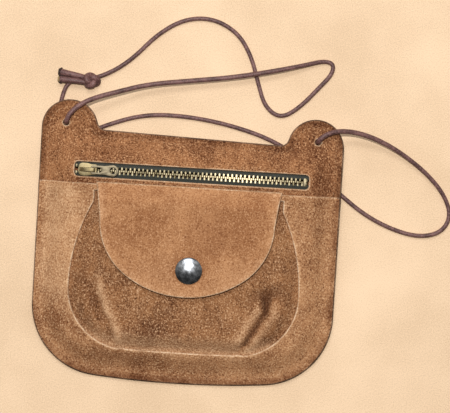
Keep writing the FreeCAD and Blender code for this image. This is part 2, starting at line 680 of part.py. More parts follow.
def slider_crown():
    """The arch on the slider that holds the pull's pin."""
    owner = body("crown_body")
    left = -size.slider_left + 0.6
    right = left + size.slider_length - 1.6
    top = plate_top + size.crown_height
    sketch = corners(body_sketch(owner, "crown_section", "XZ_Plane", -size.chain_centre), [
        (left, plate_top), (right, plate_top), (right, plate_top + 1.8), (right - 1.2, top - 0.2),
        (right - 3.0, top), (left + 3.2, top - 0.4), (left + 1.0, plate_top + 0.9)])
    pad(owner, sketch, size.crown_half * 2, both_ways=True)
    slot = corners(body_sketch(owner, "crown_slot", "XZ_Plane", -size.chain_centre), [
        (left + 2.0, plate_top), (right - 0.9, plate_top), (right - 0.9, plate_top + 1.7),
        (right - 1.7, top - 0.9), (left + 3.6, top - 1.1), (left + 2.4, plate_top + 0.6)])
    pocket(owner, slot, size.crown_half * 4, both_ways=True)
    node(owner, "slider_crown", lay_down)


def pull_tab():
    """A waisted plate whose pin sits in the crown, with a long slot that clears the crown."""
    owner = body("pull_body")
    pin_x, end = pull_pin_x, pull_pin_x + size.pull_length
    centre, half = size.chain_centre, size.pull_half
    waist, eye, slot_half = size.pull_waist, size.pull_eye_half, size.pull_slot_half
    lift = pull_axis - size.pull_thick * 0.5
    sketch = body_sketch(owner, "pull_outline", "XY_Plane", lift)
    corners(sketch, [
        (pin_x - size.pull_pin_half, centre - eye), (pin_x + 5.6, centre - eye),
        (pin_x + 7.4, centre - waist), (end - 3.0, centre - half), (end - 0.8, centre - half),
        (end, centre - half + 0.8), (end, centre + half - 0.8), (end - 0.8, centre + half),
        (end - 3.0, centre + half), (pin_x + 7.4, centre + waist), (pin_x + 5.6, centre + eye),
        (pin_x - size.pull_pin_half, centre + eye)])
    slot_end = pin_x + size.pull_slot
    corners(sketch, [
        (pin_x + size.pull_pin_half, centre - slot_half), (pin_x + size.pull_pin_half, centre + slot_half),
        (slot_end, centre + slot_half), (slot_end, centre - slot_half)])
    hole = sketch.addGeometry(Part.Circle(vector(end - 3.0, centre), UP, size.pull_hole.value))
    bind(sketch, "Radius", hole, to=size.pull_hole)
    bind(sketch, "DistanceX", hole, 3, to=end - 3.0)
    bind(sketch, "DistanceY", hole, 3, to=centre)
    pad(owner, sketch, size.pull_thick)
    node(owner, "pull_tab", lay_down)


# ---------------------------------------------------------------- neck cord
LEFT_ROUTE = [(-71.0, 64.7, 8.8), (-71.0, 64.9, 11.6), (-70.9, 66.4, 13.1), (-70.0, 70.0, 13.6),
              (-66.2, 75.4, 13.2), (-58.0, 80.2, 12.0), (-45.0, 84.6, 9.4), (-27.0, 90.2, 7.4),
              (-3.0, 93.4, 6.4), (21.0, 96.6, 6.2), (44.0, 102.0, 6.0), (61.0, 106.8, 3.6),
              (73.0, 109.8, 1.25), (79.6, 108.4, 1.25), (78.6, 102.2, 1.25), (70.8, 94.0, 1.25),
              (60.0, 82.0, 1.25), (49.0, 74.6, 1.25), (39.6, 80.6, 1.25), (35.0, 94.0, 1.25),
              (30.6, 108.8, 1.25), (22.6, 121.6, 1.25), (8.0, 129.0, 1.25), (-8.4, 127.6, 1.25),
              (-23.6, 118.4, 1.25), (-36.8, 103.8, 1.25), (-49.4, 94.4, 2.0), (-57.0, 91.2, 2.8)]
RIGHT_ROUTE = [(70.0, 62.05, 8.8), (70.0, 62.25, 11.6), (70.7, 63.8, 13.0), (73.6, 66.8, 13.4),
               (80.4, 69.8, 12.4), (92.0, 70.0, 9.6), (106.0, 66.0, 7.0), (120.0, 59.2, 4.8),
               (133.4, 49.6, 3.0), (143.6, 38.4, 1.6), (148.6, 26.0, 1.25), (143.4, 16.2, 1.25),
               (130.6, 13.0, 1.25), (115.0, 16.6, 1.25), (99.0, 24.2, 1.25), (83.0, 36.2, 1.25),
               (66.0, 50.6, 1.25), (46.0, 62.6, 1.25), (22.0, 69.6, 1.25), (-4.0, 73.4, 1.25),
               (-28.0, 73.0, 1.25), (-50.0, 65.0, 1.25), (-64.6, 57.2, 1.25), (-76.8, 60.6, 1.25),
               (-79.0, 72.6, 1.25), (-75.4, 81.6, 1.25), (-69.4, 86.0, 1.3), (-61.6, 88.0, 2.0)]
REAR_ROUTE = [(-71.0, 64.7, 8.8), (-71.0, 64.52, 6.28), (-70.8, 63.2, 4.9), (-70.0, 60.2, 4.6),
              (-67.2, 55.0, 4.4), (-60.6, 47.6, 3.2), (-49.0, 41.6, 1.8), (-32.0, 37.4, 1.25),
              (-8.0, 36.2, 1.25), (16.0, 37.0, 1.25), (38.0, 40.6, 1.8), (53.0, 45.2, 4.0),
              (62.6, 50.6, 4.5), (67.6, 56.2, 4.5), (69.7, 60.5, 4.9), (70.0, 61.87, 6.28),
              (70.0, 62.05, 8.8)]
TAIL_ROUTES = [[(-62.6, 92.0, 2.7), (-67.6, 92.8, 2.2), (-73.0, 93.8, 1.6), (-78.4, 94.0, 1.5)],
               [(-62.6, 90.8, 4.6), (-67.6, 90.2, 4.9), (-73.0, 90.3, 4.4), (-78.0, 90.4, 3.4)]]


def cord_tube(name, route):
    """A round cord along straight runs joined by tangent arcs, each as large as its runs allow."""
    points = [Vector(*p) for p in route]
    edges, radii, start = [], [], points[0]
    for before, corner, after in zip(points, points[1:], points[2:]):
        into, out = corner - before, after - corner
        bend = into.getAngle(out)
        radius = 0.45 * min(into.Length, out.Length) / math.tan(bend / 2)
        reach = radius * math.tan(bend / 2)
        arc_start = corner - Vector(into).normalize() * reach
        arc_end = corner + Vector(out).normalize() * reach
        towards = (arc_start + arc_end) * 0.5 - corner
        middle = corner + towards.normalize() * (radius / math.cos(bend / 2) - radius)
        edges.append(Part.LineSegment(start, arc_start).toShape())
        edges.append(Part.Arc(arc_start, middle, arc_end).toShape())
        radii.append(radius)
        start = arc_end
    edges.append(Part.LineSegment(start, points[-1]).toShape())
    path = Part.Wire(edges)
    thick = size.cord_radius.value
    ring = Part.Wire([Part.makeCircle(thick, points[0], points[1] - points[0])])
    tube = path.makePipeShell([ring], True, False)
    expected = math.pi * thick ** 2 * path.Length
    print(f"{name}: length {path.Length:.1f} mm, volume ratio {tube.Volume / expected:.4f}, "
          f"radii {' '.join(f'{r:.1f}' for r in radii)}")
    return tube


def cord(label, routes):
    item = doc.addObject("Part::Feature", label + "_tube")
    tubes = [cord_tube(label, route) for route in routes]
    item.Shape = tubes[0] if len(tubes) == 1 else Part.makeCompound(tubes)
    node(item, label)


def cord_knot():
    """The overhand knot that ties both ends of the cord, as a rounded lump."""
    knot = doc.addObject("Part::Ellipsoid", "knot_lump")
    knot.Angle1 = -90
    knot.Angle2 = 90
    knot.Angle3 = 360
    knot.setExpression("Radius1", size.knot_half_height.text)
    knot.setExpression("Radius2", size.knot_long.text)
    knot.setExpression("Radius3", size.knot_wide.text)
    knot.setExpression("Placement.Base.x", (-size.knot_across).text)
    knot.setExpression("Placement.Base.y", size.knot_up.text)
    knot.setExpression("Placement.Base.z", (size.knot_half_height + 0.1).text)
    node(knot, "cord_knot")


# ---------------------------------------------------------------- build
back_panel()
whole_front = front_shell()
front_yoke(whole_front)
front_frame(whole_front)
pocket_backing()
pocket_pouch()
flap_root()
flap()
press_stud()
zip_tape("zip_tape_upper", 1)
zip_tape("zip_tape_lower", -1)
first_tooth = -size.tooth_first.value
zip_teeth("zip_teeth_upper", 1, first_tooth)
zip_teeth("zip_teeth_lower", -1, first_tooth + size.tooth_pitch.value / 2)
zip_stops()
slider_body()
slider_crown()
pull_tab()
cord("neck_cord_left", [LEFT_ROUTE])
cord("neck_cord_right", [RIGHT_ROUTE])
cord("neck_cord_rear", [REAR_ROUTE])
cord("cord_tails", TAIL_ROUTES)
cord_knot()
doc.recompute()

for item in doc.Objects:
    if "Invalid" in item.State or "Error" in item.State:
        raise RuntimeError(f"{item.Label} failed: {item.State}")
for item in nodes:
    if item.Shape.isNull() or not item.Shape.isValid():
        raise RuntimeError(f"{item.Label} has no valid shape")

os.makedirs("parts", exist_ok=True)
for item in nodes:
    item.Shape.exportStep(f"parts/{item.Label}.step")
    box = item.Shape.BoundBox
    print(f"{item.Label}: {len(item.Shape.Solids)} solids, {item.Shape.Volume:.0f} mm3, "
          f"x {box.XMin:.1f} {box.XMax:.1f}, y {box.YMin:.1f} {box.YMax:.1f}, z {box.ZMin:.1f} {box.ZMax:.1f}")
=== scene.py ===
# %% [markdown]
# # A suede neck pouch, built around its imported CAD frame
# The pouch is a flat leather bag that hangs from the neck on a long round lace. Its front has a zip
# window at the top and a bib-shaped opening below it, where a small pocket bulges out under a flap.
# Every piece is drawn flat in millimetres, as a leather worker would cut it, and is then laid down
# into the frame, which is in metres.

# %% Load the frame
import json
import math

import bmesh
import bpy
from mathutils import Matrix, Vector, noise


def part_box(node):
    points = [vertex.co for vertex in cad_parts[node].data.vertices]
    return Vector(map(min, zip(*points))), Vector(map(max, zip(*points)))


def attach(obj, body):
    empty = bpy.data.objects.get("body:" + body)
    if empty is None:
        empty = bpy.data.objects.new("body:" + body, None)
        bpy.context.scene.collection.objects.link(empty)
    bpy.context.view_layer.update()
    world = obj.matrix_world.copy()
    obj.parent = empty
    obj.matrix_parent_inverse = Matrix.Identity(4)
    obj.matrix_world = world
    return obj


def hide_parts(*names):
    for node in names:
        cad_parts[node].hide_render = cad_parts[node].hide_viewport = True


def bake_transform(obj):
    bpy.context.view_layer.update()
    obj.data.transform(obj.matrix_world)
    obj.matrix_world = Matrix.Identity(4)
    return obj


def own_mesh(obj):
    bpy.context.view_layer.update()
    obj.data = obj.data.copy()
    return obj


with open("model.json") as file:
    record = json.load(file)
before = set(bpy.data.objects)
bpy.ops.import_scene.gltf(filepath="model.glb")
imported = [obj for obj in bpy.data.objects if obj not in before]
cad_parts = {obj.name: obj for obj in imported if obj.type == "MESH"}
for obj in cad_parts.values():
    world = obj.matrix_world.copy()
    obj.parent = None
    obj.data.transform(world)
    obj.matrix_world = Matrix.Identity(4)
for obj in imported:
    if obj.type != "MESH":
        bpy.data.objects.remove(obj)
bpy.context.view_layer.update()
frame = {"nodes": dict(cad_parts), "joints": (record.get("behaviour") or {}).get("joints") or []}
joints = {joint["name"]: joint for joint in frame["joints"]}

# %% [markdown]
# The camera looks straight down, a little right of the pouch's middle, and is turned a few degrees so
# that the pouch lies slightly askew. Its lens follows from how far it hangs above the floor and how
# much floor it takes in.

# %% Camera
EYE = Vector((0.0203, 0.0232, 1.200))
FLOOR_IN_VIEW = 0.2531
TURN = math.radians(3.5)

camera_data = bpy.data.cameras.new("camera")
camera_data.sensor_width = 36
camera_data.lens = camera_data.sensor_width * EYE.z / FLOOR_IN_VIEW
camera = bpy.data.objects.new("camera", camera_data)
camera.location = EYE
camera.rotation_euler = (0, 0, TURN)
bpy.context.scene.collection.objects.link(camera)
bpy.context.scene.camera = camera
bpy.context.scene.view_settings.view_transform = "Standard"
print("camera lens", round(camera_data.lens, 1), "mm")

# %% [markdown]
# The main light hangs almost overhead, a little towards the pouch's top. So every raised edge and cord
# throws a narrow dark line on its lower side. A wide weak light beyond the top edge gives the metal
# something to reflect, and a sky that fades towards the bottom edge fills the shade.

# %% Lights
def softbox(name, place, aim, width, watts, colour):
    """An area light that looks at a point."""
    data = bpy.data.lights.new(name, "AREA")
    data.shape = "RECTANGLE"
    data.size = width
    data.size_y = width * 0.7
    data.energy = watts
    data.color = colour
    lamp = bpy.data.objects.new(name, data)
    lamp.location = place
    lamp.rotation_euler = (Vector(aim) - Vector(place)).to_track_quat("-Z", "Y").to_euler()
    bpy.context.scene.collection.objects.link(lamp)


softbox("key", (-0.03, 0.17, 1.20), (0.02, 0.02, 0), 0.05, 10.5, (1.0, 0.98, 0.95))
softbox("window", (-0.08, 0.62, 1.00), (0, 0, 0), 0.50, 3.6, (0.96, 0.98, 1.0))

sky = bpy.data.worlds.new("sky")
sky.use_nodes = True
air = sky.node_tree
towards = air.nodes.new("ShaderNodeTexCoord")
split = air.nodes.new("ShaderNodeSeparateXYZ")
fade = air.nodes.new("ShaderNodeMapRange")
fade.interpolation_type = "SMOOTHSTEP"
for label, value in (("From Min", -0.40), ("From Max", 0.25), ("To Min", 0.06), ("To Max", 0.42)):
    fade.inputs[label].default_value = value
air.links.new(towards.outputs["Generated"], split.inputs[0])
air.links.new(split.outputs["Y"], fade.inputs["Value"])
air.links.new(fade.outputs["Result"], air.nodes["Background"].inputs["Strength"])
air.nodes["Background"].inputs["Color"].default_value = (1.0, 0.95, 0.88, 1)
bpy.context.scene.world = sky

# %% [markdown]
# ## Finishes
# A small helper adds a shader node and wires or sets its inputs. Colours are written as a paint
# chart's 0 to 255 values and turned into the linear values that shaders work in.

# %% Shader helpers
def add(tree, kind, inputs=None, **settings):
    """A new node, with its settings, and its inputs set or linked."""
    made = tree.nodes.new(kind)
    for name, value in settings.items():
        setattr(made, name, value)
    for name, value in (inputs or {}).items():
        if isinstance(value, bpy.types.NodeSocket):
            tree.links.new(value, made.inputs[name])
        else:
            made.inputs[name].default_value = value
    return made


def paint(red, green, blue):
    """A paint chart's colour as linear red, green, blue and alpha."""
    def linear(level):
        level = level / 255
        return level / 12.92 if level <= 0.04045 else ((level + 0.055) / 1.055) ** 2.4
    return (linear(red), linear(green), linear(blue), 1)


def clouds(tree, place, scale, detail=3.0, rough=0.6):
    """Noise of that many features per metre."""
    made = add(tree, "ShaderNodeTexNoise",
               {"Vector": place, "Scale": scale, "Detail": detail, "Roughness": rough})
    return made.outputs["Fac"]


def spread(tree, value, low, high):
    """A value's range from low to high, stretched to 0 to 1."""
    made = add(tree, "ShaderNodeMapRange", {"Value": value, "From Min": low, "From Max": high},
               interpolation_type="SMOOTHSTEP")
    return made.outputs["Result"]


def maths(tree, operation, first, second):
    """Two numbers put together."""
    return add(tree, "ShaderNodeMath", {0: first, 1: second}, operation=operation).outputs[0]


def mixed(tree, factor, first, second, how="MIX"):
    """Two colours mixed."""
    made = add(tree, "ShaderNodeMix", {0: factor, 6: first, 7: second}, data_type="RGBA", blend_type=how)
    return made.outputs[2]


def start_group(name, inputs, outputs):
    """An empty node group with its sockets, and its input and output nodes."""
    group = bpy.data.node_groups.new(name, "ShaderNodeTree")
    kinds = {"colour": "NodeSocketColor", "number": "NodeSocketFloat", "vector": "NodeSocketVector"}
    for label, kind in inputs:
        group.interface.new_socket(name=label, in_out="INPUT", socket_type=kinds[kind])
    for label, kind in outputs:
        group.interface.new_socket(name=label, in_out="OUTPUT", socket_type=kinds[kind])
    return group, group.nodes.new("NodeGroupInput").outputs, group.nodes.new("NodeGroupOutput").inputs


# %% [markdown]
# Suede is the brushed flesh side of a hide. Close up it is a nap of short fibres that catch the light
# in specks; from further off it shows soft patches where a hand has brushed the nap one way or the
# other. One group makes both, and each suede only changes its three colours and how coarse it is.

# %% Suede group
def suede_group():
    group, given, made = start_group(
        "Suede nap",
        [("Shade", "colour"), ("Base", "colour"), ("Bright", "colour"), ("Coarseness", "number"),
         ("Wear and painted light", "number")],
        [("Color", "colour"), ("Roughness", "number"), ("Normal", "vector")])
    place = add(group, "ShaderNodeTexCoord").outputs["Object"]
    stroked = add(group, "ShaderNodeMapping", {"Vector": place, "Scale": (1.0, 0.45, 1.0)}).outputs[0]
    patches = clouds(group, place, 38.0, 4.0, 0.62)
    strokes = clouds(group, stroked, 240.0, 3.0, 0.6)
    nap = clouds(group, place, 1150.0, 3.0, 0.72)
    fibres = clouds(group, stroked, 1700.0, 2.0, 0.7)
    tone = maths(group, "ADD", maths(group, "MULTIPLY", patches, 0.48),
                 maths(group, "ADD", maths(group, "MULTIPLY", strokes, 0.22),
                       maths(group, "MULTIPLY", nap, 0.30)))
    ground = mixed(group, spread(group, tone, 0.38, 0.60), given["Shade"], given["Base"])
    speckle = maths(group, "ADD", maths(group, "MULTIPLY", nap, 0.6), maths(group, "MULTIPLY", fibres, 0.4))
    specks = maths(group, "MULTIPLY", spread(group, speckle, 0.51, 0.64), given["Coarseness"])
    pits = maths(group, "MULTIPLY", spread(group, speckle, 0.48, 0.36), given["Coarseness"])
    lit = mixed(group, specks, ground, given["Bright"])
    napped = mixed(group, pits, lit, given["Shade"], "MULTIPLY")
    # Above 0 the attribute mixes in a paler nap, below 0 it multiplies in the shade colour: rubbed edges and
    # soil, and on some pieces painted highlights and painted shade.
    pale = add(group, "ShaderNodeClamp", {"Value": given["Wear and painted light"]}).outputs[0]
    soil_and_painted_shade = add(group, "ShaderNodeClamp", {"Value": maths(group, "MULTIPLY", given["Wear and painted light"], -1.0)}).outputs[0]
    darkening = mixed(group, soil_and_painted_shade, napped, given["Shade"], "MULTIPLY")
    brightened = mixed(group, spread(group, speckle, 0.38, 0.60), given["Base"], given["Bright"])
    group.links.new(mixed(group, pale, darkening, brightened), made["Color"])
    group.links.new(maths(group, "ADD", 0.84, maths(group, "MULTIPLY", fibres, 0.14)), made["Roughness"])
    height = maths(group, "ADD", nap, maths(group, "MULTIPLY", fibres, 0.6))
    bump = add(group, "ShaderNodeBump", {"Strength": 0.75, "Distance": 0.00045, "Height": height})
    group.links.new(bump.outputs["Normal"], made["Normal"])
    return group


SUEDE_NAP = suede_group()


def suede(name, shade, base, bright, coarseness=0.55, sheen=0.25):
    """A suede finish. The piece's own attribute makes it paler above 0 and darker below 0: rubbed edges and
    soil, and on some pieces painted light and painted shade.
    """
    material = bpy.data.materials.new(name)
    material.use_nodes = True
    tree = material.node_tree
    shader = tree.nodes["Principled BSDF"]
    wear_and_painted_light = add(tree, "ShaderNodeAttribute", attribute_name="wear_and_painted_light").outputs["Fac"]
    nap = add(tree, "ShaderNodeGroup", node_tree=SUEDE_NAP)
    for label, value in (("Shade", shade), ("Base", base), ("Bright", bright)):
        nap.inputs[label].default_value = value
    nap.inputs["Coarseness"].default_value = coarseness
    tree.links.new(wear_and_painted_light, nap.inputs["Wear and painted light"])
    for label in ("Color", "Roughness", "Normal"):
        target = "Base Color" if label == "Color" else label
        tree.links.new(nap.outputs[label], shader.inputs[target])
    shader.inputs["Sheen Weight"].default_value = sheen
    shader.inputs["Sheen Roughness"].default_value = 0.45
    shader.inputs["Sheen Tint"].default_value = bright
    shader.inputs["Specular IOR Level"].default_value = 0.15
    return material


SUEDE_FLAP = suede("suede_flap", paint(150, 100, 64), paint(184, 133, 92), paint(220, 174, 134), 0.62)
SUEDE_YOKE = suede("suede_yoke", paint(106, 63, 37), paint(162, 111, 73), paint(212, 164, 122), 0.92)
SUEDE_FRAME = suede("suede_frame", paint(132, 86, 54), paint(182, 133, 93), paint(224, 184, 144), 0.88)
SUEDE_POCKET = suede("suede_pocket", paint(106, 66, 40), paint(158, 110, 72), paint(216, 176, 138), 0.90)
SUEDE_BACK = suede("suede_back", paint(110, 70, 46), paint(150, 104, 72), paint(188, 142, 104), 0.50)
CUT_LIGHT = suede("cut_edge_light", paint(150, 108, 74), paint(196, 152, 114), paint(238, 212, 182), 0.5)
CUT_DARK = suede("cut_edge_dark", paint(92, 66, 48), paint(128, 98, 76), paint(190, 156, 132), 0.6)
print("suedes:", [m.name for m in bpy.data.materials])

# %% [markdown]
# The metal parts are old brass and darkened nickel. Both are plain metals whose colour and roughness
# change where hands rub them bright and where tarnish stays in the corners.

# %% Metals
def tarnish_group():
    group, given, made = start_group(
        "Tarnish", [("Dull", "colour"), ("Bright", "colour"), ("Smooth", "number"), ("Wear and painted light", "number")],
        [("Color", "colour"), ("Roughness", "number"), ("Normal", "vector")])
    place = add(group, "ShaderNodeTexCoord").outputs["Object"]
    stain = clouds(group, place, 420.0, 4.0, 0.65)
    grain = clouds(group, place, 2600.0, 2.0, 0.6)
    tone_shift = maths(group, "ADD", maths(group, "MULTIPLY", spread(group, stain, 0.38, 0.62), 0.45), given["Wear and painted light"])
    polished = add(group, "ShaderNodeClamp", {"Value": tone_shift}).outputs[0]
    group.links.new(mixed(group, polished, given["Dull"], given["Bright"]), made["Color"])
    rough = maths(group, "SUBTRACT", maths(group, "MULTIPLY", stain, 0.35),
                  maths(group, "MULTIPLY", given["Smooth"], 0.25))
    group.links.new(maths(group, "ADD", rough, 0.26), made["Roughness"])
    bump = add(group, "ShaderNodeBump", {"Strength": 0.25, "Distance": 0.00008, "Height": grain})
    group.links.new(bump.outputs["Normal"], made["Normal"])
    return group


TARNISH = tarnish_group()


def metal(name, dull, bright, smooth):
    """A tarnished metal finish. The piece's own attribute says where it is brighter."""
    material = bpy.data.materials.new(name)
    material.use_nodes = True
    tree = material.node_tree
    shader = tree.nodes["Principled BSDF"]
    shader.inputs["Metallic"].default_value = 1.0
    skin = add(tree, "ShaderNodeGroup", node_tree=TARNISH)
    skin.inputs["Dull"].default_value = dull
    skin.inputs["Bright"].default_value = bright
    skin.inputs["Smooth"].default_value = smooth
    wear_and_painted_light = add(tree, "ShaderNodeAttribute", attribute_name="wear_and_painted_light").outputs["Fac"]
    tree.links.new(wear_and_painted_light, skin.inputs["Wear and painted light"])
    tree.links.new(skin.outputs["Color"], shader.inputs["Base Color"])
    tree.links.new(skin.outputs["Roughness"], shader.inputs["Roughness"])
    tree.links.new(skin.outputs["Normal"], shader.inputs["Normal"])
    return material


ANTIQUE_BRASS = metal("antique_brass", paint(88, 80, 58), paint(232, 218, 182), -0.3)
SLIDER_BRASS = metal("slider_brass", paint(142, 128, 94), paint(206, 192, 154), -0.6)
PULL_BRASS = metal("pull_brass", paint(124, 114, 94), paint(180, 168, 142), -0.6)
DARK_NICKEL = metal("dark_nickel", paint(128, 131, 136), paint(196, 200, 206), 0.75)
print("metals:", ANTIQUE_BRASS.name, SLIDER_BRASS.name, DARK_NICKEL.name)


# %% [markdown]
# Three thread finishes are left: the waxed lace with its long faint streaks, the zip's twill tape with
# slanting ribs, and the sewing thread.

# %% Lace, tape and thread
def fibre(name, dark, light, streak_scale, stretch, strength, rough):
    """A yarn finish with streaks that are stretched along one way of the piece."""
    material = bpy.data.materials.new(name)
    material.use_nodes = True
    tree = material.node_tree
    shader = tree.nodes["Principled BSDF"]
    place = add(tree, "ShaderNodeTexCoord").outputs["Object"]
    pulled = add(tree, "ShaderNodeMapping", {"Vector": place, "Scale": stretch}).outputs[0]
    streaks = clouds(tree, pulled, streak_scale, 4.0, 0.65)
    tone_shift = clouds(tree, place, streak_scale * 0.12, 2.0, 0.5)
    tone = maths(tree, "ADD", maths(tree, "MULTIPLY", streaks, 0.7), maths(tree, "MULTIPLY", tone_shift, 0.3))
    tree.links.new(mixed(tree, spread(tree, tone, 0.38, 0.64), dark, light), shader.inputs["Base Color"])
    bump = add(tree, "ShaderNodeBump", {"Strength": strength, "Distance": 0.00012, "Height": streaks})
    tree.links.new(bump.outputs["Normal"], shader.inputs["Normal"])
    shader.inputs["Roughness"].default_value = rough
    shader.inputs["Specular IOR Level"].default_value = 0.35
    return material


LACE = fibre("lace", paint(68, 44, 42), paint(134, 98, 94), 1500.0, (1, 1, 1), 0.5, 0.5)
LACE_CUT = fibre("lace_cut", paint(26, 20, 18), paint(70, 54, 50), 2200.0, (1, 1, 1), 0.8, 0.85)
LACE_CORE = fibre("lace_core", paint(150, 122, 74), paint(228, 204, 150), 2200.0, (0.3, 1, 1), 0.8, 0.85)
THREAD = fibre("thread", paint(136, 94, 62), paint(204, 160, 120), 3000.0, (1, 1, 1), 0.6, 0.7)


def twill(name, dark, light):
    """Fine slanting ribs, for the zip's tape."""
    material = bpy.data.materials.new(name)
    material.use_nodes = True
    tree = material.node_tree
    shader = tree.nodes["Principled BSDF"]
    place = add(tree, "ShaderNodeTexCoord").outputs["Object"]
    slanted = add(tree, "ShaderNodeMapping", {"Vector": place, "Rotation": (0, 0, 0.9)}).outputs[0]
    ribs = add(tree, "ShaderNodeTexWave", {"Vector": slanted, "Scale": 420.0, "Distortion": 1.2,
                                           "Detail": 2.0, "Detail Scale": 3.0}).outputs["Fac"]
    fuzz = clouds(tree, place, 900.0, 3.0, 0.6)
    tone = maths(tree, "ADD", maths(tree, "MULTIPLY", ribs, 0.5), maths(tree, "MULTIPLY", fuzz, 0.5))
    tree.links.new(mixed(tree, tone, dark, light), shader.inputs["Base Color"])
    bump = add(tree, "ShaderNodeBump", {"Strength": 0.7, "Distance": 0.0001, "Height": ribs})
    tree.links.new(bump.outputs["Normal"], shader.inputs["Normal"])
    shader.inputs["Roughness"].default_value = 0.8
    return material


ZIP_TAPE = twill("zip_tape", paint(24, 25, 22), paint(74, 76, 68))


def floor_paper():
    """Plain pale paper for the floor."""
    material = bpy.data.materials.new("pale_paper")
    material.use_nodes = True
    tree = material.node_tree
    shader = tree.nodes["Principled BSDF"]
    place = add(tree, "ShaderNodeTexCoord").outputs["Object"]
    soft = maths(tree, "ADD", maths(tree, "MULTIPLY", clouds(tree, place, 14.0, 3.0, 0.6), 0.35),
                 maths(tree, "MULTIPLY", clouds(tree, place, 1500.0, 3.0, 0.7), 0.65))
    tone = mixed(tree, spread(tree, soft, 0.32, 0.64), paint(212, 182, 148), paint(246, 216, 182))
    tree.links.new(tone, shader.inputs["Base Color"])
    shader.inputs["Roughness"].default_value = 0.9
    return material


PALE_PAPER = floor_paper()
print("materials:", len(bpy.data.materials))

# %% [markdown]
# ## Floor
# The floor is one plain sheet at the height where the pouch rests. It isn't part of the object.

# %% Floor
FLOOR_HALF = 1.5
floor_mesh = bpy.data.meshes.new("floor")
bm = bmesh.new()
bmesh.ops.create_grid(bm, x_segments=1, y_segments=1, size=FLOOR_HALF)
bm.to_mesh(floor_mesh)
bm.free()
floor = bpy.data.objects.new("floor", floor_mesh)
floor.data.materials.append(PALE_PAPER)
bpy.context.scene.collection.objects.link(floor)

# %% [markdown]
# ## Neck lace
# The lace is one long cord, passed through both ear holes and tied into a loop by one knot. It is
# built as three stretches: from each ear hole to the knot, and behind the pouch from hole to hole.
# Each is a curve through a few listed points, so it lies in loose bends as a limp lace does.

# %% Lace helpers
LACE_THICKNESS = 0.0025


def lace_run(name, route, widths=None, body="root"):
    """A round lace along a smooth line. Widths, if given, swell it point by point."""
    curve = bpy.data.curves.new(name, "CURVE")
    curve.dimensions = "3D"
    curve.bevel_depth = LACE_THICKNESS / 2
    curve.bevel_resolution = 4
    curve.resolution_u = 10
    curve.use_fill_caps = True
    spline = curve.splines.new("NURBS")
    spline.points.add(len(route) - 1)
    for index, place in enumerate(route):
        spline.points[index].co = (*place, 1)
        spline.points[index].radius = widths[index] if widths else 1.0
    spline.order_u = 3
    spline.use_endpoint_u = True
    curve.materials.append(LACE)
    run = bpy.data.objects.new(name, curve)
    bpy.context.scene.collection.objects.link(run)
    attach(run, body)
    return run


# %% The three stretches and the tails
LEFT_ROUTE = [
    (-0.071, 0.0647, 0.0088), (-0.071, 0.0649, 0.0116), (-0.0705, 0.0662, 0.0131),
    (-0.0692, 0.0694, 0.0136), (-0.0646, 0.0744, 0.0132), (-0.0566, 0.079, 0.012),
    (-0.0442, 0.0832, 0.0094), (-0.0266, 0.0888, 0.0074), (-0.003, 0.0922, 0.0064),
    (0.021, 0.0956, 0.0062), (0.0438, 0.1006, 0.006), (0.06, 0.105, 0.0036),
    (0.0704, 0.1082, 0.00125), (0.0764, 0.107, 0.00125), (0.0758, 0.101, 0.00125),
    (0.069, 0.093, 0.00125), (0.059, 0.0815, 0.00125), (0.0486, 0.0744, 0.00125),
    (0.0392, 0.0804, 0.00125), (0.0346, 0.0936, 0.00125), (0.03, 0.1082, 0.00125),
    (0.0218, 0.121, 0.00125), (0.0072, 0.1284, 0.00125), (-0.0088, 0.127, 0.00125),
    (-0.0234, 0.1176, 0.00125), (-0.0364, 0.103, 0.00125), (-0.049, 0.0938, 0.002),
    (-0.057, 0.0908, 0.0028)]
RIGHT_ROUTE = [
    (0.07, 0.06205, 0.0088), (0.07, 0.06225, 0.0116), (0.0707, 0.0636, 0.013),
    (0.0736, 0.0662, 0.0134), (0.08, 0.069, 0.0124), (0.0914, 0.069, 0.0096),
    (0.1052, 0.065, 0.007), (0.119, 0.058, 0.0048), (0.1324, 0.0484, 0.003),
    (0.1426, 0.0376, 0.0016), (0.1474, 0.0258, 0.00125), (0.1426, 0.016, 0.00125),
    (0.1302, 0.0126, 0.00125), (0.1146, 0.016, 0.00125), (0.0984, 0.0234, 0.00125),
    (0.0824, 0.0354, 0.00125), (0.0656, 0.0498, 0.00125), (0.046, 0.0616, 0.00125),
    (0.022, 0.0688, 0.00125), (-0.004, 0.0726, 0.00125), (-0.028, 0.0722, 0.00125),
    (-0.05, 0.0646, 0.00125), (-0.064, 0.0572, 0.00125), (-0.0744, 0.0606, 0.00125),
    (-0.0759, 0.0716, 0.00125), (-0.0746, 0.0806, 0.00125), (-0.0722, 0.087, 0.00125),
    (-0.0672, 0.0892, 0.0015), (-0.0616, 0.089, 0.002)]
REAR_ROUTE = [
    (-0.071, 0.0647, 0.0088), (-0.071, 0.06452, 0.00628), (-0.0708, 0.0632, 0.0049),
    (-0.07, 0.0602, 0.0046), (-0.0672, 0.055, 0.0044), (-0.0606, 0.0476, 0.0032),
    (-0.049, 0.0416, 0.0018), (-0.032, 0.0374, 0.00125), (-0.008, 0.0362, 0.00125),
    (0.016, 0.037, 0.00125), (0.038, 0.0406, 0.0018), (0.053, 0.0452, 0.004),
    (0.0626, 0.0506, 0.0045), (0.0676, 0.0562, 0.0045), (0.0697, 0.0605, 0.0049),
    (0.07, 0.06187, 0.00628), (0.07, 0.06205, 0.0088)]
UPPER_TAIL = [
    (-0.0622, 0.0906, 0.0034), (-0.0672, 0.0916, 0.0044), (-0.0718, 0.0922, 0.0044),
    (-0.0764, 0.0930, 0.0034)]
LOWER_TAIL = [
    (-0.0622, 0.0880, 0.0040), (-0.0672, 0.0885, 0.0046), (-0.0718, 0.0887, 0.0046),
    (-0.0762, 0.0889, 0.0036)]
RAISED_WIDTH = 1.12
LYING_WIDTH = 0.96


def lace_widths(route):
    """The stretch that is held up is a little fuller than the stretch that lies flat."""
    return [RAISED_WIDTH if place[2] > 2 * LACE_THICKNESS else LYING_WIDTH for place in route]


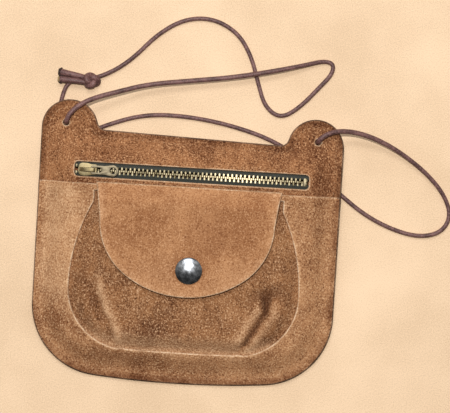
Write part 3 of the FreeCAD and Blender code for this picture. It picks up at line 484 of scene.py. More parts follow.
lace_left = lace_run("lace_left", LEFT_ROUTE, lace_widths(LEFT_ROUTE))
lace_right = lace_run("lace_right", RIGHT_ROUTE, lace_widths(RIGHT_ROUTE))
lace_rear = lace_run("lace_rear", REAR_ROUTE)
tail_upper = lace_run("tail_upper", UPPER_TAIL, (1.20, 1.28, 1.36, 1.60))
tail_lower = lace_run("tail_lower", LOWER_TAIL, (1.20, 1.28, 1.36, 1.60))
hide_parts("neck_cord_left")
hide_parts("neck_cord_right")
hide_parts("neck_cord_rear")
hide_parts("cord_tails")
print("laces:", lace_left.name, lace_right.name, lace_rear.name)

# %% [markdown]
# The knot is an overhand knot pulled tight. Its strand follows a trefoil, the curve that an overhand
# knot makes, squeezed to the size of the frame's knot so that the crossings press into each other.

# %% Knot
KNOT_STRAND = 0.00175
KNOT_TURNS = 36

knot_low, knot_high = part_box("cord_knot")
knot_middle = (knot_low + knot_high) / 2 + Vector((0.0005, -0.0011, 0.0002))
knot_half = (knot_high - knot_low) / 2
reach = [1.18 * half - KNOT_STRAND for half in knot_half]
knot_curve = bpy.data.curves.new("knot", "CURVE")
knot_curve.dimensions = "3D"
knot_curve.bevel_depth = KNOT_STRAND
knot_curve.bevel_resolution = 5
knot_curve.resolution_u = 4
knot_curve.use_fill_caps = True
knot_line = knot_curve.splines.new("NURBS")
knot_line.points.add(KNOT_TURNS - 1)
for index in range(KNOT_TURNS):
    angle = math.tau * index / KNOT_TURNS
    wide = 2 + math.cos(3 * angle)
    place = Vector((wide * math.cos(2 * angle) / 3 * reach[0],
                    wide * math.sin(2 * angle) / 3 * reach[1],
                    math.sin(3 * angle) * reach[2]))
    knot_line.points[index].co = (*(knot_middle + place), 1)
knot_line.order_u = 3
knot_line.use_cyclic_u = True
knot_curve.materials.append(LACE)
knot = bpy.data.objects.new("lace_knot", knot_curve)
bpy.context.scene.collection.objects.link(knot)
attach(knot, "root")
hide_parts("cord_knot")
print("knot:", [round(1000 * side, 1) for side in knot_half * 2], "mm")

# %% [markdown]
# Both tails end in a cut: the waxed skin flares a little, and at the lower tail the pale core's yarns show.

# %% Frayed ends
def frayed_end(name, tip, before, width, core_rings, lift=0.0):
    """A tuft of short yarns out of a cut lace end: pale core yarns inside the dark waxed skin's."""
    out = ((Vector(tip) - Vector(before)).normalized() + Vector((0, 0, lift))).normalized()
    bm = bmesh.new()
    for number, (ring, count) in enumerate(((0.0, 1), (0.42, 6), (0.80, 12), (1.05, 16))):
        for index in range(count):
            turn = math.tau * index / count + ring
            long = 0.0017 + 0.0006 * noise.noise(Vector((7 * turn, 5 * ring, width * 1000)))
            made = bmesh.ops.create_cone(bm, cap_ends=True, segments=5, radius1=0.00036, radius2=0.00014,
                                         depth=long)
            lean = Matrix.Rotation(0.45 * ring, 4, Vector((math.sin(turn), -math.cos(turn), 0)))
            offset = Vector((math.cos(turn), math.sin(turn), 0)) * ring * width
            bmesh.ops.transform(bm, matrix=Matrix.Translation(offset) @ lean, verts=made["verts"])
            for face in {face for vert in made["verts"] for face in vert.link_faces}:
                face.material_index = 0 if number < core_rings else 1
    facing = out.to_track_quat("Z", "Y").to_matrix().to_4x4()
    bmesh.ops.transform(bm, matrix=Matrix.Translation(Vector(tip) + out * 0.0002) @ facing, verts=bm.verts)
    mesh = bpy.data.meshes.new(name)
    bm.to_mesh(mesh)
    bm.free()
    mesh.materials.append(LACE_CORE)
    mesh.materials.append(LACE_CUT)
    tuft = bpy.data.objects.new(name, mesh)
    bpy.context.scene.collection.objects.link(tuft)
    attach(tuft, "root")
    return tuft


tuft_upper = frayed_end("tuft_upper", UPPER_TAIL[-1], UPPER_TAIL[-2], 0.0019, 0)
tuft_lower = frayed_end("tuft_lower", LOWER_TAIL[-1], LOWER_TAIL[-2], 0.0018, 3, lift=0.9)

# %% [markdown]
# ## Laying the pouch down
# The pouch is drawn flat, and the lace behind its ears props its top edge up by three degrees. The
# flap's hinge is known in both the drawing and the frame, so it fixes the move between them.

# %% Laying down
LEAN = math.radians(3)
HINGE_DRAWN = Vector((0, 26.0, 16.05))
TURNED = Matrix.Rotation(LEAN, 4, "X") @ Matrix.Scale(0.001, 4)
hinge_place = Vector(joints["flap_hinge"]["pos_m"])
LAY_DOWN = Matrix.Translation(hinge_place - TURNED @ HINGE_DRAWN) @ TURNED


def piece_from(bm, name, materials, body="root", angle=50):
    """Turns a drawn bmesh into a finished piece that rides on a body, if one is named."""
    mesh = bpy.data.meshes.new(name)
    bm.to_mesh(mesh)
    bm.free()
    mesh.transform(LAY_DOWN)
    for material in materials:
        mesh.materials.append(material)
    mesh.shade_smooth()
    mesh.set_sharp_from_angle(angle=math.radians(angle))
    made = bpy.data.objects.new(name, mesh)
    bpy.context.scene.collection.objects.link(made)
    if body:
        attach(made, body)
    return made


print("lay down:", [round(value, 4) for value in LAY_DOWN.translation])

# %% [markdown]
# ## Drawing outlines
# A pen walks round an outline in straight runs and arcs. An arc is one vertex spun about its centre,
# so the script names centres and radii and never a list of points.

# %% Pen
class Pen:
    """Draws a line of vertices and edges in a bmesh, flat on Z = 0."""

    def __init__(self, bm, x, y, step=2.5):
        self.bm = bm
        self.step = step
        self.tip = bm.verts.new((x, y, 0))
        self.path = [self.tip]

    def line(self, x, y):
        new = self.bm.verts.new((x, y, 0))
        self.bm.edges.new((self.tip, new))
        self.tip = new
        self.path.append(new)

    def arc(self, x, y, degrees):
        """Turns about a centre, anticlockwise where degrees is positive."""
        radius = (self.tip.co - Vector((x, y, 0))).length
        steps = max(3, round(abs(math.radians(degrees)) * radius / self.step))
        for _ in range(steps):
            spun = bmesh.ops.spin(self.bm, geom=[self.tip], cent=(x, y, 0), axis=(0, 0, 1),
                                  angle=math.radians(degrees / steps), steps=1)
            self.tip = [v for v in spun["geom_last"] if isinstance(v, bmesh.types.BMVert)][0]
            self.path.append(self.tip)

    def close(self):
        """Joins the tip back to the start."""
        start = self.path[0]
        if (self.tip.co - start.co).length < 0.01:
            before = self.path[-2]
            self.bm.verts.remove(self.tip)
            self.path.pop()
            self.tip = before
        self.bm.edges.new((self.tip, start))
        return self.path


# %% [markdown]
# The pouch's outline has straight sides, a bottom that bows a little, and two round ears that run into
# the top edge through small hollow curves. The same function draws it smaller for rows of stitches.

# %% Pouch outline
HALF_WIDTH = 84.5
CORNER = 40.0
CORNER_Y = -35.5
CROWN = 536.0
EAR = 15.7
EAR_FILLET = 4.5
RIGHT_EAR_Y, RIGHT_EDGE_Y = 59.4, 59.5
LEFT_EAR_Y, LEFT_EDGE_Y = 62.5, 62.3
HOLES = ((-71.0, 65.2), (70.0, 62.6))
HOLE = 1.7

CORNER_X = HALF_WIDTH - CORNER
EAR_X = HALF_WIDTH - EAR
CROWN_Y = CORNER_Y + math.sqrt((CROWN - CORNER) ** 2 - CORNER_X ** 2)
CROWN_SWING = math.degrees(math.asin(CORNER_X / (CROWN - CORNER)))


def ear_fillet(ear_y, edge_y, inset):
    """The hollow curve's centre, as a reach from the ear's centre, and its angle there."""
    rise = edge_y + EAR_FILLET - ear_y
    reach = math.sqrt((EAR + EAR_FILLET) ** 2 - rise ** 2)
    return reach, rise, math.degrees(math.atan2(rise, reach))


def draw_bottom_half(pen, inset):
    """From the left side's foot round the bottom to the right side's foot."""
    pen.arc(-CORNER_X, CORNER_Y, 90 - CROWN_SWING)
    pen.arc(0, CROWN_Y, 2 * CROWN_SWING)
    pen.arc(CORNER_X, CORNER_Y, 90 - CROWN_SWING)


def draw_top_half(pen, inset):
    """From the right side over both ears to the left side."""
    reach, rise, angle = ear_fillet(RIGHT_EAR_Y, RIGHT_EDGE_Y, inset)
    pen.line(HALF_WIDTH - inset, RIGHT_EAR_Y)
    pen.arc(EAR_X, RIGHT_EAR_Y, 180 - angle)
    pen.arc(EAR_X - reach, RIGHT_EAR_Y + rise, angle - 90)
    reach, rise, angle = ear_fillet(LEFT_EAR_Y, LEFT_EDGE_Y, inset)
    pen.line(reach - EAR_X, LEFT_EDGE_Y - inset)
    pen.arc(reach - EAR_X, LEFT_EAR_Y + rise, angle - 90)
    pen.arc(-EAR_X, LEFT_EAR_Y, 180 - angle)


def draw_pouch(bm, inset=0.0):
    pen = Pen(bm, inset - HALF_WIDTH, CORNER_Y)
    draw_bottom_half(pen, inset)
    draw_top_half(pen, inset)
    return pen.close()


def draw_hole(bm, x, y, radius):
    pen = Pen(bm, x + radius, y, step=0.7)
    pen.arc(x, y, 360)
    return pen.close()


def edge_distance(x, y):
    """How far inside the pouch's outline a point is."""
    bottom = CROWN - math.hypot(x, y - CROWN_Y)
    if abs(x) > CORNER_X and y < CORNER_Y:
        return CORNER - math.hypot(abs(x) - CORNER_X, y - CORNER_Y)
    slide = (x + EAR_X) / (2 * EAR_X)
    top = LEFT_EDGE_Y + (RIGHT_EDGE_Y - LEFT_EDGE_Y) * slide - y
    ear_y = RIGHT_EAR_Y if x > 0 else LEFT_EAR_Y
    ear = EAR - math.hypot(abs(x) - EAR_X, y - ear_y)
    body = min(HALF_WIDTH - abs(x), bottom, top)
    return max(body, ear) if y > ear_y - EAR else body


# %% [markdown]
# ## From an outline to a leather sheet
# A leather panel is the same thing every time: an outline, perhaps with holes, filled and cut into a
# fine grid, then lifted to the shape that the leather takes and given its thickness. Its cut edge is a
# narrow sloping rim, because a knife leaves a paler, slightly rounded edge that catches the light.

# %% Sheet helpers
def smooth(value, low, high):
    """0 below low, 1 above high, and an S-curve between."""
    share = min(1.0, max(0.0, (value - low) / (high - low)))
    return share * share * (3 - 2 * share)


def ripple(x, y, size, seed=0.0):
    """Soft unevenness from -1 to 1, about that many millimetres across."""
    return noise.noise(Vector((x / size, y / size, seed)))


def add_rim(bm, slope):
    """Two narrow rings inside the outline: the knife's cut and the rounding above it."""
    for width, lift in slope:
        whole = [face for face in bm.faces if face.material_index == 0]
        ring = bmesh.ops.inset_region(bm, faces=whole, thickness=width, depth=lift, use_boundary=True,
                                      use_even_offset=True)
        for face in ring["faces"]:
            face.material_index = 1


def cut_grid(bm, step):
    """Cuts the sheet along evenly spaced lines, then clears what is left of the first filling."""
    for axis in (0, 1):
        spots = [v.co[axis] for v in bm.verts]
        first = math.ceil(min(spots) / step) * step
        count = int((max(spots) - first) / step) + 1
        for index in range(count):
            spot = Vector((0, 0, 0))
            spot[axis] = first + index * step
            normal = Vector((0, 0, 0))
            normal[axis] = 1
            bmesh.ops.bisect_plane(bm, geom=bm.verts[:] + bm.edges[:] + bm.faces[:], dist=0.0005,
                                   plane_co=spot, plane_no=normal)
    stray = []
    for edge in bm.edges:
        run = edge.verts[1].co - edge.verts[0].co
        flat = all(face.material_index == 0 for face in edge.link_faces)
        if len(edge.link_faces) == 2 and flat and min(abs(run.x), abs(run.y)) > 0.001:
            stray.append(edge)
    bmesh.ops.dissolve_edges(bm, edges=stray, use_verts=False)
    loose = [v for v in bm.verts if len(v.link_edges) == 2 and not v.is_boundary]
    bmesh.ops.dissolve_verts(bm, verts=loose)


CUT_SLOPE = ((0.35, 0.42), (0.35, 0.12))
SEAM_Y = 32.5


def leather(name, draw, height, materials, thickness=1.2, step=3.0, slope=CUT_SLOPE,
            dark_rim=False, wear_and_painted_light=None, edge_wear=0.55, body="root"):
    """A finished leather panel: draw fills a bmesh with closed outlines, height lifts it."""
    bm = bmesh.new()
    draw(bm)
    bmesh.ops.triangle_fill(bm, use_beauty=True, use_dissolve=False, edges=bm.edges[:], normal=(0, 0, 1))
    bmesh.ops.recalc_face_normals(bm, faces=bm.faces[:])
    if bm.faces[0].normal.z < 0:
        bmesh.ops.reverse_faces(bm, faces=bm.faces[:])
    add_rim(bm, slope)
    cut_grid(bm, step)
    # This layer stores each point's lightening and darkening: rubbed edges and soil, and on some panels painted
    # light and painted shade.
    tone_shift = bm.verts.layers.float.new("wear_and_painted_light")
    raised = sum(lift for _, lift in slope)
    for vert in bm.verts:
        x, y = vert.co.x, vert.co.y
        vert.co.z += height(x, y) - raised
        vert[tone_shift] = wear_and_painted_light(x, y) if wear_and_painted_light else 0.0
    for face in [face for face in bm.faces if face.material_index == 1]:
        middle = face.calc_center_median()
        if dark_rim and edge_distance(middle.x, middle.y) < 1.5:
            face.material_index = 2
        else:
            for vert in face.verts:
                x, y = vert.co.x, vert.co.y
                seam = 1.0 - 0.75 * smooth(abs(y - SEAM_Y), 6.0, 1.5)
                vert[tone_shift] = edge_wear * seam * smooth(ripple(x, y, 6.0, 4.0), -0.7, 0.3)
    panel = piece_from(bm, name, materials, body)
    wall = panel.modifiers.new("thickness", "SOLIDIFY")
    wall.thickness = thickness * 0.001
    wall.offset = -1
    wall.use_rim = True
    wall.material_offset_rim = 0
    bake(panel)
    print(name + ":", len(panel.data.polygons), "faces")
    return panel


def bake(piece):
    """Applies a piece's modifiers to its mesh."""
    bpy.context.view_layer.update()
    shaped = piece.evaluated_get(bpy.context.evaluated_depsgraph_get())
    mesh = bpy.data.meshes.new_from_object(shaped)
    piece.modifiers.clear()
    piece.data = mesh
    mesh.name = piece.name


# %% [markdown]
# ## Back panel
# The back is a flat piece of suede in the full outline, with the two lace holes.

# %% Back
LEATHER = 1.2
BACK_TOP = 1.2


def draw_back(bm):
    draw_pouch(bm)
    for x, y in HOLES:
        draw_hole(bm, x, y, HOLE)


def rim_wear(x, y):
    """The pouch's rim is darker in a band, and its very edge is rubbed pale in patches."""
    inside = edge_distance(x, y)
    darkening = 0.52 * smooth(inside, 3.6, 2.4) * smooth(ripple(x, y, 12.0), -0.9, 0.2)
    brightened = 0.6 * smooth(inside, 1.0, 0.2) * smooth(ripple(x, y, 7.0), -0.4, 0.4)
    return brightened - darkening


back = leather("back_suede", draw_back, lambda x, y: BACK_TOP, [SUEDE_BACK, CUT_LIGHT, CUT_DARK],
               dark_rim=True)
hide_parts("back_panel")

# %% [markdown]
# ## Front yoke and front frame
# The front is sewn to the back round a flat rim, and swells up inside it. The yoke is the upper part
# with the zip's window. The frame below it laps over the yoke's lower edge, and its big opening shows
# the pocket. Both share one function for how high the swelling stands.

# %% Shape of the front
RIM_TOP = 2.4
PLATEAU = 9.4
SWELL_TOP_Y = 57.0
SWELL_RIM = 6.0
SWELL_CORNER = 12.0
LAP = 3.0


def swell_depth(x, y):
    """How far inside the swelling's foot a point is."""
    side = HALF_WIDTH - SWELL_RIM - abs(x)
    top = SWELL_TOP_Y - y
    if side < SWELL_CORNER and top < SWELL_CORNER:
        return SWELL_CORNER - math.hypot(SWELL_CORNER - side, SWELL_CORNER - top)
    if y < CORNER_Y and abs(x) > CORNER_X:
        return CORNER - SWELL_RIM - math.hypot(abs(x) - CORNER_X, y - CORNER_Y)
    return min(side, top, CROWN - SWELL_RIM - math.hypot(x, y - CROWN_Y))


def front_height(x, y):
    """The front's upper surface, with the slight waves of soft leather."""
    swell = smooth(swell_depth(x, y), -1.5, 11.5)
    waves = 0.45 * ripple(x, y, 21.0) + 0.22 * ripple(x, y, 9.0, 3.0)
    edge_wave = 0.18 * ripple(x, y, 14.0, 7.0)
    return RIM_TOP + (PLATEAU - RIM_TOP) * swell + waves * swell + edge_wave * (1 - swell) + 0.15


CHAIN_Y = 40.0
WINDOW = (-64.3, 66.0, 36.1, 44.1)
WINDOW_CORNER = 2.0


def draw_window(bm, grow=0.0):
    left, right, low, high = WINDOW
    left, right, low, high = left - grow, right + grow, low - grow, high + grow
    bend = WINDOW_CORNER + grow
    pen = Pen(bm, left, low + bend, step=1.0)
    pen.arc(left + bend, low + bend, 90)
    pen.line(right - bend, low)
    pen.arc(right - bend, low + bend, 90)
    pen.line(right, high - bend)
    pen.arc(right - bend, high - bend, 90)
    pen.line(left + bend, high)
    pen.arc(left + bend, high - bend, 90)
    return pen.close()


def draw_yoke(bm):
    pen = Pen(bm, -HALF_WIDTH, SEAM_Y - LAP)
    pen.line(HALF_WIDTH, SEAM_Y - LAP)
    draw_top_half(pen, 0.0)
    pen.close()
    draw_window(bm)
    for x, y in HOLES:
        draw_hole(bm, x, y, HOLE)


def yoke_height(x, y):
    """The front's surface, dipping under the frame and drawn down a little along the stitching."""
    left, right, low, high = WINDOW
    out_x = max(left - x, x - right, 0.0)
    out_y = max(low - y, y - high, 0.0)
    beside = math.hypot(out_x, out_y)
    sewn = 0.30 * math.exp(-((beside - 2.0) / 0.9) ** 2) if y > SEAM_Y + 0.4 else 0.0
    rolled = 0.35 * smooth(beside, 1.6, 0.0)
    under = 1.1 * smooth(y, SEAM_Y + 0.6, SEAM_Y - 0.8)
    return front_height(x, y) - sewn + rolled - under


def yoke_wear_and_painted_highlight(x, y):
    """As the rim, and the window's cut edge is pale; along its bottom, which faces the light, it is paler still,
    a painted highlight.
    """
    beside = max(WINDOW[0] - x, x - WINDOW[1], WINDOW[2] - y, y - WINDOW[3])
    # Painted highlight: the window's lower edge faces the light and is painted paler than the upper one.
    pale = 0.7 if y < CHAIN_Y else 0.4
    return rim_wear(x, y) + pale * smooth(beside, 0.8, 0.2) + 0.12 * ripple(x, y, 16.0, 2.0)


yoke = leather("yoke_suede", draw_yoke, yoke_height, [SUEDE_YOKE, CUT_LIGHT, CUT_DARK],
               step=2.5, dark_rim=True, wear_and_painted_light=yoke_wear_and_painted_highlight)
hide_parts("front_yoke")

# %% [markdown]
# The frame's opening is narrow at the top, flares out and ends in a broad round bottom. Where the
# pocket is gathered under it, near both lower corners, its edge is puckered.

# %% Frame
OPENING_TOP_Y = 28.6
OPENING_HALF = 52.5
FLARE_Y = 22.5
OPENING_WIDE = 64.0
OPENING_LOW_Y = -25.0
OPENING_ARC = 34.0
PUCKER_X = 32.0

flare_drop = FLARE_Y - OPENING_LOW_Y
flare_step = OPENING_WIDE - OPENING_HALF
FLARE = (flare_drop ** 2 + flare_step ** 2) / (2 * flare_step)
FLARE_SWING = math.degrees(math.asin(flare_drop / FLARE))
OPENING_FLAT = OPENING_WIDE - OPENING_ARC
OPENING_BOTTOM_Y = OPENING_LOW_Y - OPENING_ARC


def draw_opening(pen):
    """From the left flare's top down round the bottom to the right flare's top."""
    pen.arc(FLARE - OPENING_WIDE, OPENING_LOW_Y, FLARE_SWING)
    pen.arc(-OPENING_FLAT, OPENING_LOW_Y, 90)
    for share in (-0.5, 0, 0.5, 1):
        pen.line(share * OPENING_FLAT, OPENING_BOTTOM_Y)
    pen.arc(OPENING_FLAT, OPENING_LOW_Y, 90)
    pen.arc(OPENING_WIDE - FLARE, OPENING_LOW_Y, FLARE_SWING)


def opening_distance(x, y):
    """How far inside the frame's opening a point is, and negative outside it."""
    across = abs(x)
    if y > OPENING_LOW_Y:
        return FLARE - math.hypot(across - OPENING_WIDE + FLARE, y - OPENING_LOW_Y)
    if across > OPENING_FLAT:
        return OPENING_ARC - math.hypot(across - OPENING_FLAT, y - OPENING_LOW_Y)
    return y - OPENING_BOTTOM_Y


def pucker(x, y):
    """1 on the puckers at the opening's lower corners, fading to 0 within a few millimetres."""
    near = math.hypot(abs(x) - PUCKER_X, (y - OPENING_BOTTOM_Y) * 0.6)
    return math.exp(-(near / 2.2) ** 2)


def draw_frame(bm):
    rim = Pen(bm, -HALF_WIDTH, SEAM_Y)
    rim.line(-HALF_WIDTH, CORNER_Y)
    draw_bottom_half(rim, 0.0)
    rim.line(HALF_WIDTH, SEAM_Y)
    rim.close()
    bib = Pen(bm, -OPENING_HALF, OPENING_TOP_Y, step=1.6)
    bib.line(-OPENING_HALF, FLARE_Y)
    draw_opening(bib)
    bib.line(OPENING_HALF, OPENING_TOP_Y)
    for vert in bib.close():
        vert.co.y += 0.9 * pucker(vert.co.x, vert.co.y)


def frame_height(x, y):
    """The front's surface, raised where it laps over the yoke and lifted a little round its opening."""
    lap = 1.0 * smooth(y, SEAM_Y - 9.0, SEAM_Y - 0.5)
    lip = -opening_distance(x, y)
    lifted = 0.35 * smooth(lip, 5.0, 0.0) + 0.5 * pucker(x, y)
    pinched = 0.5 * math.exp(-((lip - 6.0) / 3.5) ** 2)
    return front_height(x, y) + lap + lifted - pinched


def frame_wear_and_painted_light(x, y):
    """Painted light down the left side, where the swelling's slope is lit, and darker along the bottom and the
    lower right.
    """
    # Painted light: the left side's slope is painted paler.
    painted_light_on_left = 0.62 * smooth(x, -50.0, -66.0) * smooth(y, -50.0, -12.0) * (0.8 + 0.5 * ripple(x, y, 7.0, 1.0))
    dimmed = 0.10 * smooth(y, -52.0, -66.0) + 0.12 * smooth(x, 62.0, 74.0) * smooth(y, -10.0, 20.0)
    lip = 0.5 * smooth(-opening_distance(x, y), 1.6, 0.4) if y < FLARE_Y else 0.0
    return rim_wear(x, y) + painted_light_on_left - dimmed + lip + 0.22 * ripple(x, y, 18.0, 6.0)


frame_panel = leather("frame_suede", draw_frame, frame_height, [SUEDE_FRAME, CUT_LIGHT, CUT_DARK],
                      step=2.5, dark_rim=True, wear_and_painted_light=frame_wear_and_painted_light, edge_wear=0.85)
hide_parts("front_frame")

# %% [markdown]
# ## Pocket
# Behind the opening lies a plain backing, and on it the pocket's front: rough, darker suede that is
# cut larger than the opening, so it bulges. It is gathered into the two lower corners, which leaves a
# soft fold on the left and a deeper dent on the right.

# %% Pocket shapes
POCKET_MARGIN = 1.5
BACKING_TOP_Y = 29.4
MOUTH_Y = 14.0
MOUTH_HALF = 45.0
MOUTH_BEND = 9.0
BACKING_TOP = 7.2
POCKET_FOOT = 8.1
POCKET_RISE = 4.9
POCKET_LEATHER = 1.0
LEFT_FOLD = ((-49.5, -12.0), (-46.5, -25.0), (-43.0, -35.5), (-37.5, -45.5), (-33.5, -57.0))
RIGHT_DENT = ((46.5, -24.0), (46.5, -34.0), (41.5, -42.5), (36.0, -52.5), (33.0, -57.5))
DENT_HOLLOW = Vector((45.8, -25.0))


def along(x, y, line):
    """How far a point is from a line, on which side, and how far along the line, from 0 to 1."""
    best = (1000.0, 0.0)
    for index in range(len(line) - 1):
        start, run = Vector(line[index]), Vector(line[index + 1]) - Vector(line[index])
        off = Vector((x, y)) - start
        share = min(1.0, max(0.0, off.dot(run) / run.length_squared))
        gap = (off - run * share).length
        if gap < abs(best[0]):
            side = 1.0 if run.x * off.y - run.y * off.x > 0 else -1.0
            best = (gap * side, (index + share) / (len(line) - 1))
    return best


def widen(path):
    """The pocket's pieces are cut a margin larger than the frame's opening."""
    middle = Vector((0, OPENING_LOW_Y / 2, 0))
    for vert in path:
        if opening_distance(vert.co.x, vert.co.y) < 1.0:
            vert.co += (vert.co - middle).normalized() * POCKET_MARGIN


def draw_backing(bm):
    pen = Pen(bm, -OPENING_HALF, BACKING_TOP_Y)
    pen.line(-OPENING_HALF, FLARE_Y)
    draw_opening(pen)
    pen.line(OPENING_HALF, BACKING_TOP_Y)
    widen(pen.close())


def draw_pocket(bm):
    """The pocket's front runs up to the seam at both sides, and its mouth is scooped out between."""
    pen = Pen(bm, -OPENING_HALF, BACKING_TOP_Y, step=1.8)
    pen.line(-OPENING_HALF, FLARE_Y)
    draw_opening(pen)
    pen.line(OPENING_HALF, BACKING_TOP_Y)
    pen.line(MOUTH_HALF, BACKING_TOP_Y)
    pen.line(MOUTH_HALF, MOUTH_Y + MOUTH_BEND)
    pen.arc(MOUTH_HALF - MOUTH_BEND, MOUTH_Y + MOUTH_BEND, -90)
    pen.line(MOUTH_BEND - MOUTH_HALF, MOUTH_Y)
    pen.arc(MOUTH_BEND - MOUTH_HALF, MOUTH_Y + MOUTH_BEND, -90)
    pen.line(-MOUTH_HALF, BACKING_TOP_Y)
    widen(pen.close())


def pocket_folds(x, y):
    """Shares from 0 to 1: the left fold and its ridge, and the right dent, its shoulders and hollow."""
    gap, share = along(x, y, LEFT_FOLD)
    ends = smooth(share, 0.0, 0.3) * smooth(share, 1.02, 0.85)
    fold = math.exp(-((gap + 3.4) / (3.4 - 1.2 * share)) ** 2) * ends
    ridge = math.exp(-((gap - 0.4) / 2.4) ** 2) * ends
    gap, share = along(x, y, RIGHT_DENT)
    ends = smooth(share, -0.02, 0.1) * smooth(share, 1.02, 0.8)
    dent = math.exp(-(gap / (2.1 - 1.0 * share)) ** 2) * ends
    shoulder = (math.exp(-((gap + 4.4) / 2.6) ** 2) + math.exp(-((gap - 4.0) / 2.2) ** 2)) * ends
    off = Vector((x, y)) - DENT_HOLLOW
    hollow = math.exp(-((off.x - 0.5 * off.y) / 8.6) ** 2 - (off.y / 6.4) ** 2)
    return fold, ridge, dent, shoulder, hollow


def pocket_height(x, y):
    """The bulging pocket front with its folds."""
    inside = opening_distance(x, y)
    bulge = smooth(inside, -0.5, 10.0) * smooth(y, 29.0, 23.0)
    full = POCKET_FOOT + POCKET_RISE * bulge
    uneven = 0.55 * ripple(x, y, 17.0, 5.0) + 0.30 * ripple(x, y, 8.0, 9.0)
    fold, ridge, dent, shoulder, hollow = pocket_folds(x, y)
    creased = -1.9 * fold + 1.0 * ridge - 2.9 * dent + 1.0 * shoulder - 2.4 * hollow
    lowest = BACKING_TOP + POCKET_LEATHER + 0.2
    return max(lowest, full + bulge * uneven + creased * smooth(inside, 0.2, 4.0))


def pocket_painted_light(x, y):
    """Painted shade in the folds' valleys and the dent's hollow, painted highlights on their ridges and
    shoulders, and painted light along the bottom, which turns away from the light.
    """
    fold, ridge, dent, shoulder, hollow = pocket_folds(x, y)
    patchy = 0.7 + 0.5 * ripple(x, y, 5.0, 8.0)
    # Painted highlights on the left fold's ridge and the dent's shoulders.
    pale = 1.35 * ridge * patchy + 0.85 * shoulder * patchy
    # Painted light along the bottom, where the bulge turns away from the light.
    low = 0.55 * smooth(y, -46.0, -56.0)
    # Painted shade in the left fold, the dent and its hollow.
    dark = min(0.8, 0.34 * fold + 0.78 * dent + 0.75 * hollow)
    return pale + low - dark + 0.2 * ripple(x, y, 14.0, 3.0)


backing = leather("pocket_backing_suede", draw_backing, lambda x, y: BACKING_TOP,
                  [SUEDE_BACK, CUT_LIGHT], thickness=0.8, step=4.0)
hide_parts("pocket_backing")
pocket = leather("pocket_suede", draw_pocket, pocket_height, [SUEDE_POCKET, CUT_LIGHT],
                 thickness=POCKET_LEATHER, step=1.4, wear_and_painted_light=pocket_painted_light)
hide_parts("pocket_pouch")

# %% [markdown]
# ## Flap
# The flap is one smooth piece of lighter suede. Its top is sewn to the front just below the zip, it
# climbs over the pocket's mouth, and its broad round tip is held by the press stud.

# %% Flap
FLAP_LEATHER = 1.3
FLAP_TOP = 16.7
FLAP_SEWN_TOP = 11.4
FLAP_ROOT_Y = 33.7
FLAP_ROOT_HALF = 51.8
FLAP_FOLD_Y = 25.7
FLAP_FOLD_HALF = 50.1
FLAP_SIDE_HALF = 48.7
FLAP_SIDE_Y = 14.0
FLAP_SIDE_ARC = 38.5
FLAP_TIP_ARC = 56.4
SNAP = Vector((2.4, -12.5, 0))

flap_inner = FLAP_SIDE_HALF - FLAP_SIDE_ARC
FLAP_TIP_Y = FLAP_SIDE_Y + math.sqrt((FLAP_TIP_ARC - FLAP_SIDE_ARC) ** 2 - flap_inner ** 2)
FLAP_SWING = math.degrees(math.asin(flap_inner / (FLAP_TIP_ARC - FLAP_SIDE_ARC)))


def draw_flap(bm):
    pen = Pen(bm, -FLAP_SIDE_HALF, FLAP_SIDE_Y, step=2.0)
    pen.arc(-flap_inner, FLAP_SIDE_Y, 90 - FLAP_SWING)
    pen.arc(0, FLAP_TIP_Y, 2 * FLAP_SWING)
    pen.arc(flap_inner, FLAP_SIDE_Y, 90 - FLAP_SWING)
    pen.line(FLAP_FOLD_HALF, FLAP_FOLD_Y)
    pen.line(FLAP_ROOT_HALF, FLAP_ROOT_Y)
    pen.line(-FLAP_ROOT_HALF, FLAP_ROOT_Y)
    pen.line(-FLAP_FOLD_HALF, FLAP_FOLD_Y)
    pen.close()


def flap_height(x, y):
    """Sewn down at the top, over the pocket's mouth, then nearly flat and pressed in at the stud."""
    climb = smooth(y, 32.4, 24.0)
    waves = (0.30 * ripple(x, y, 26.0, 11.0) + 0.12 * ripple(x, y, 9.0, 2.0)) * climb
    from_snap = math.hypot(x - SNAP.x, y - SNAP.y)
    pressed = 0.25 * math.exp(-((from_snap - 8.0) / 2.2) ** 2)
    return FLAP_SEWN_TOP + (FLAP_TOP - FLAP_SEWN_TOP) * climb + waves - pressed


def flap_inside(x, y):
    """How far inside the flap's side or tip a point is."""
    if y > FLAP_SIDE_Y:
        return FLAP_SIDE_HALF - abs(x)
    if math.degrees(math.atan2(abs(x), FLAP_TIP_Y - y)) > FLAP_SWING:
        return FLAP_SIDE_ARC - math.hypot(abs(x) - flap_inner, y - FLAP_SIDE_Y)
    return FLAP_TIP_ARC - math.hypot(x, y - FLAP_TIP_Y)


def flap_wear_and_painted_highlight(x, y):
    """Rubbed edges, a little grime at the upper right, a faint darker ring round the stud's cap, and a painted
    highlight along the sewn top, where the seam's ridge faces the light.
    """
    from_snap = math.hypot(x - SNAP.x, y - SNAP.y)
    dimmed = 0.22 * math.exp(-((x - 22.0) / 16.0) ** 2 - ((y - 6.0) / 12.0) ** 2)
    ring = 0.25 * smooth(from_snap, 10.0, 7.6)
    brightened = 0.95 * smooth(flap_inside(x, y), 3.6, 0.8) * smooth(ripple(x, y, 3.5, 6.0), -0.5, 0.5)
    low = 0.2 * smooth(y, 0.0, -16.0)
    # The last term is a painted highlight along the sewn top.
    return 0.18 * ripple(x, y, 20.0, 9.0) + brightened + low - dimmed - ring + 0.25 * smooth(y, 31.0, 33.5)


flap = leather("flap_suede", draw_flap, flap_height, [SUEDE_FLAP, CUT_LIGHT],
               thickness=FLAP_LEATHER, step=2.0, slope=((0.30, 0.45), (0.45, 0.15)), wear_and_painted_light=flap_wear_and_painted_highlight,
               body=None)
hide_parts("flap_root", "flap")
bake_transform(flap)

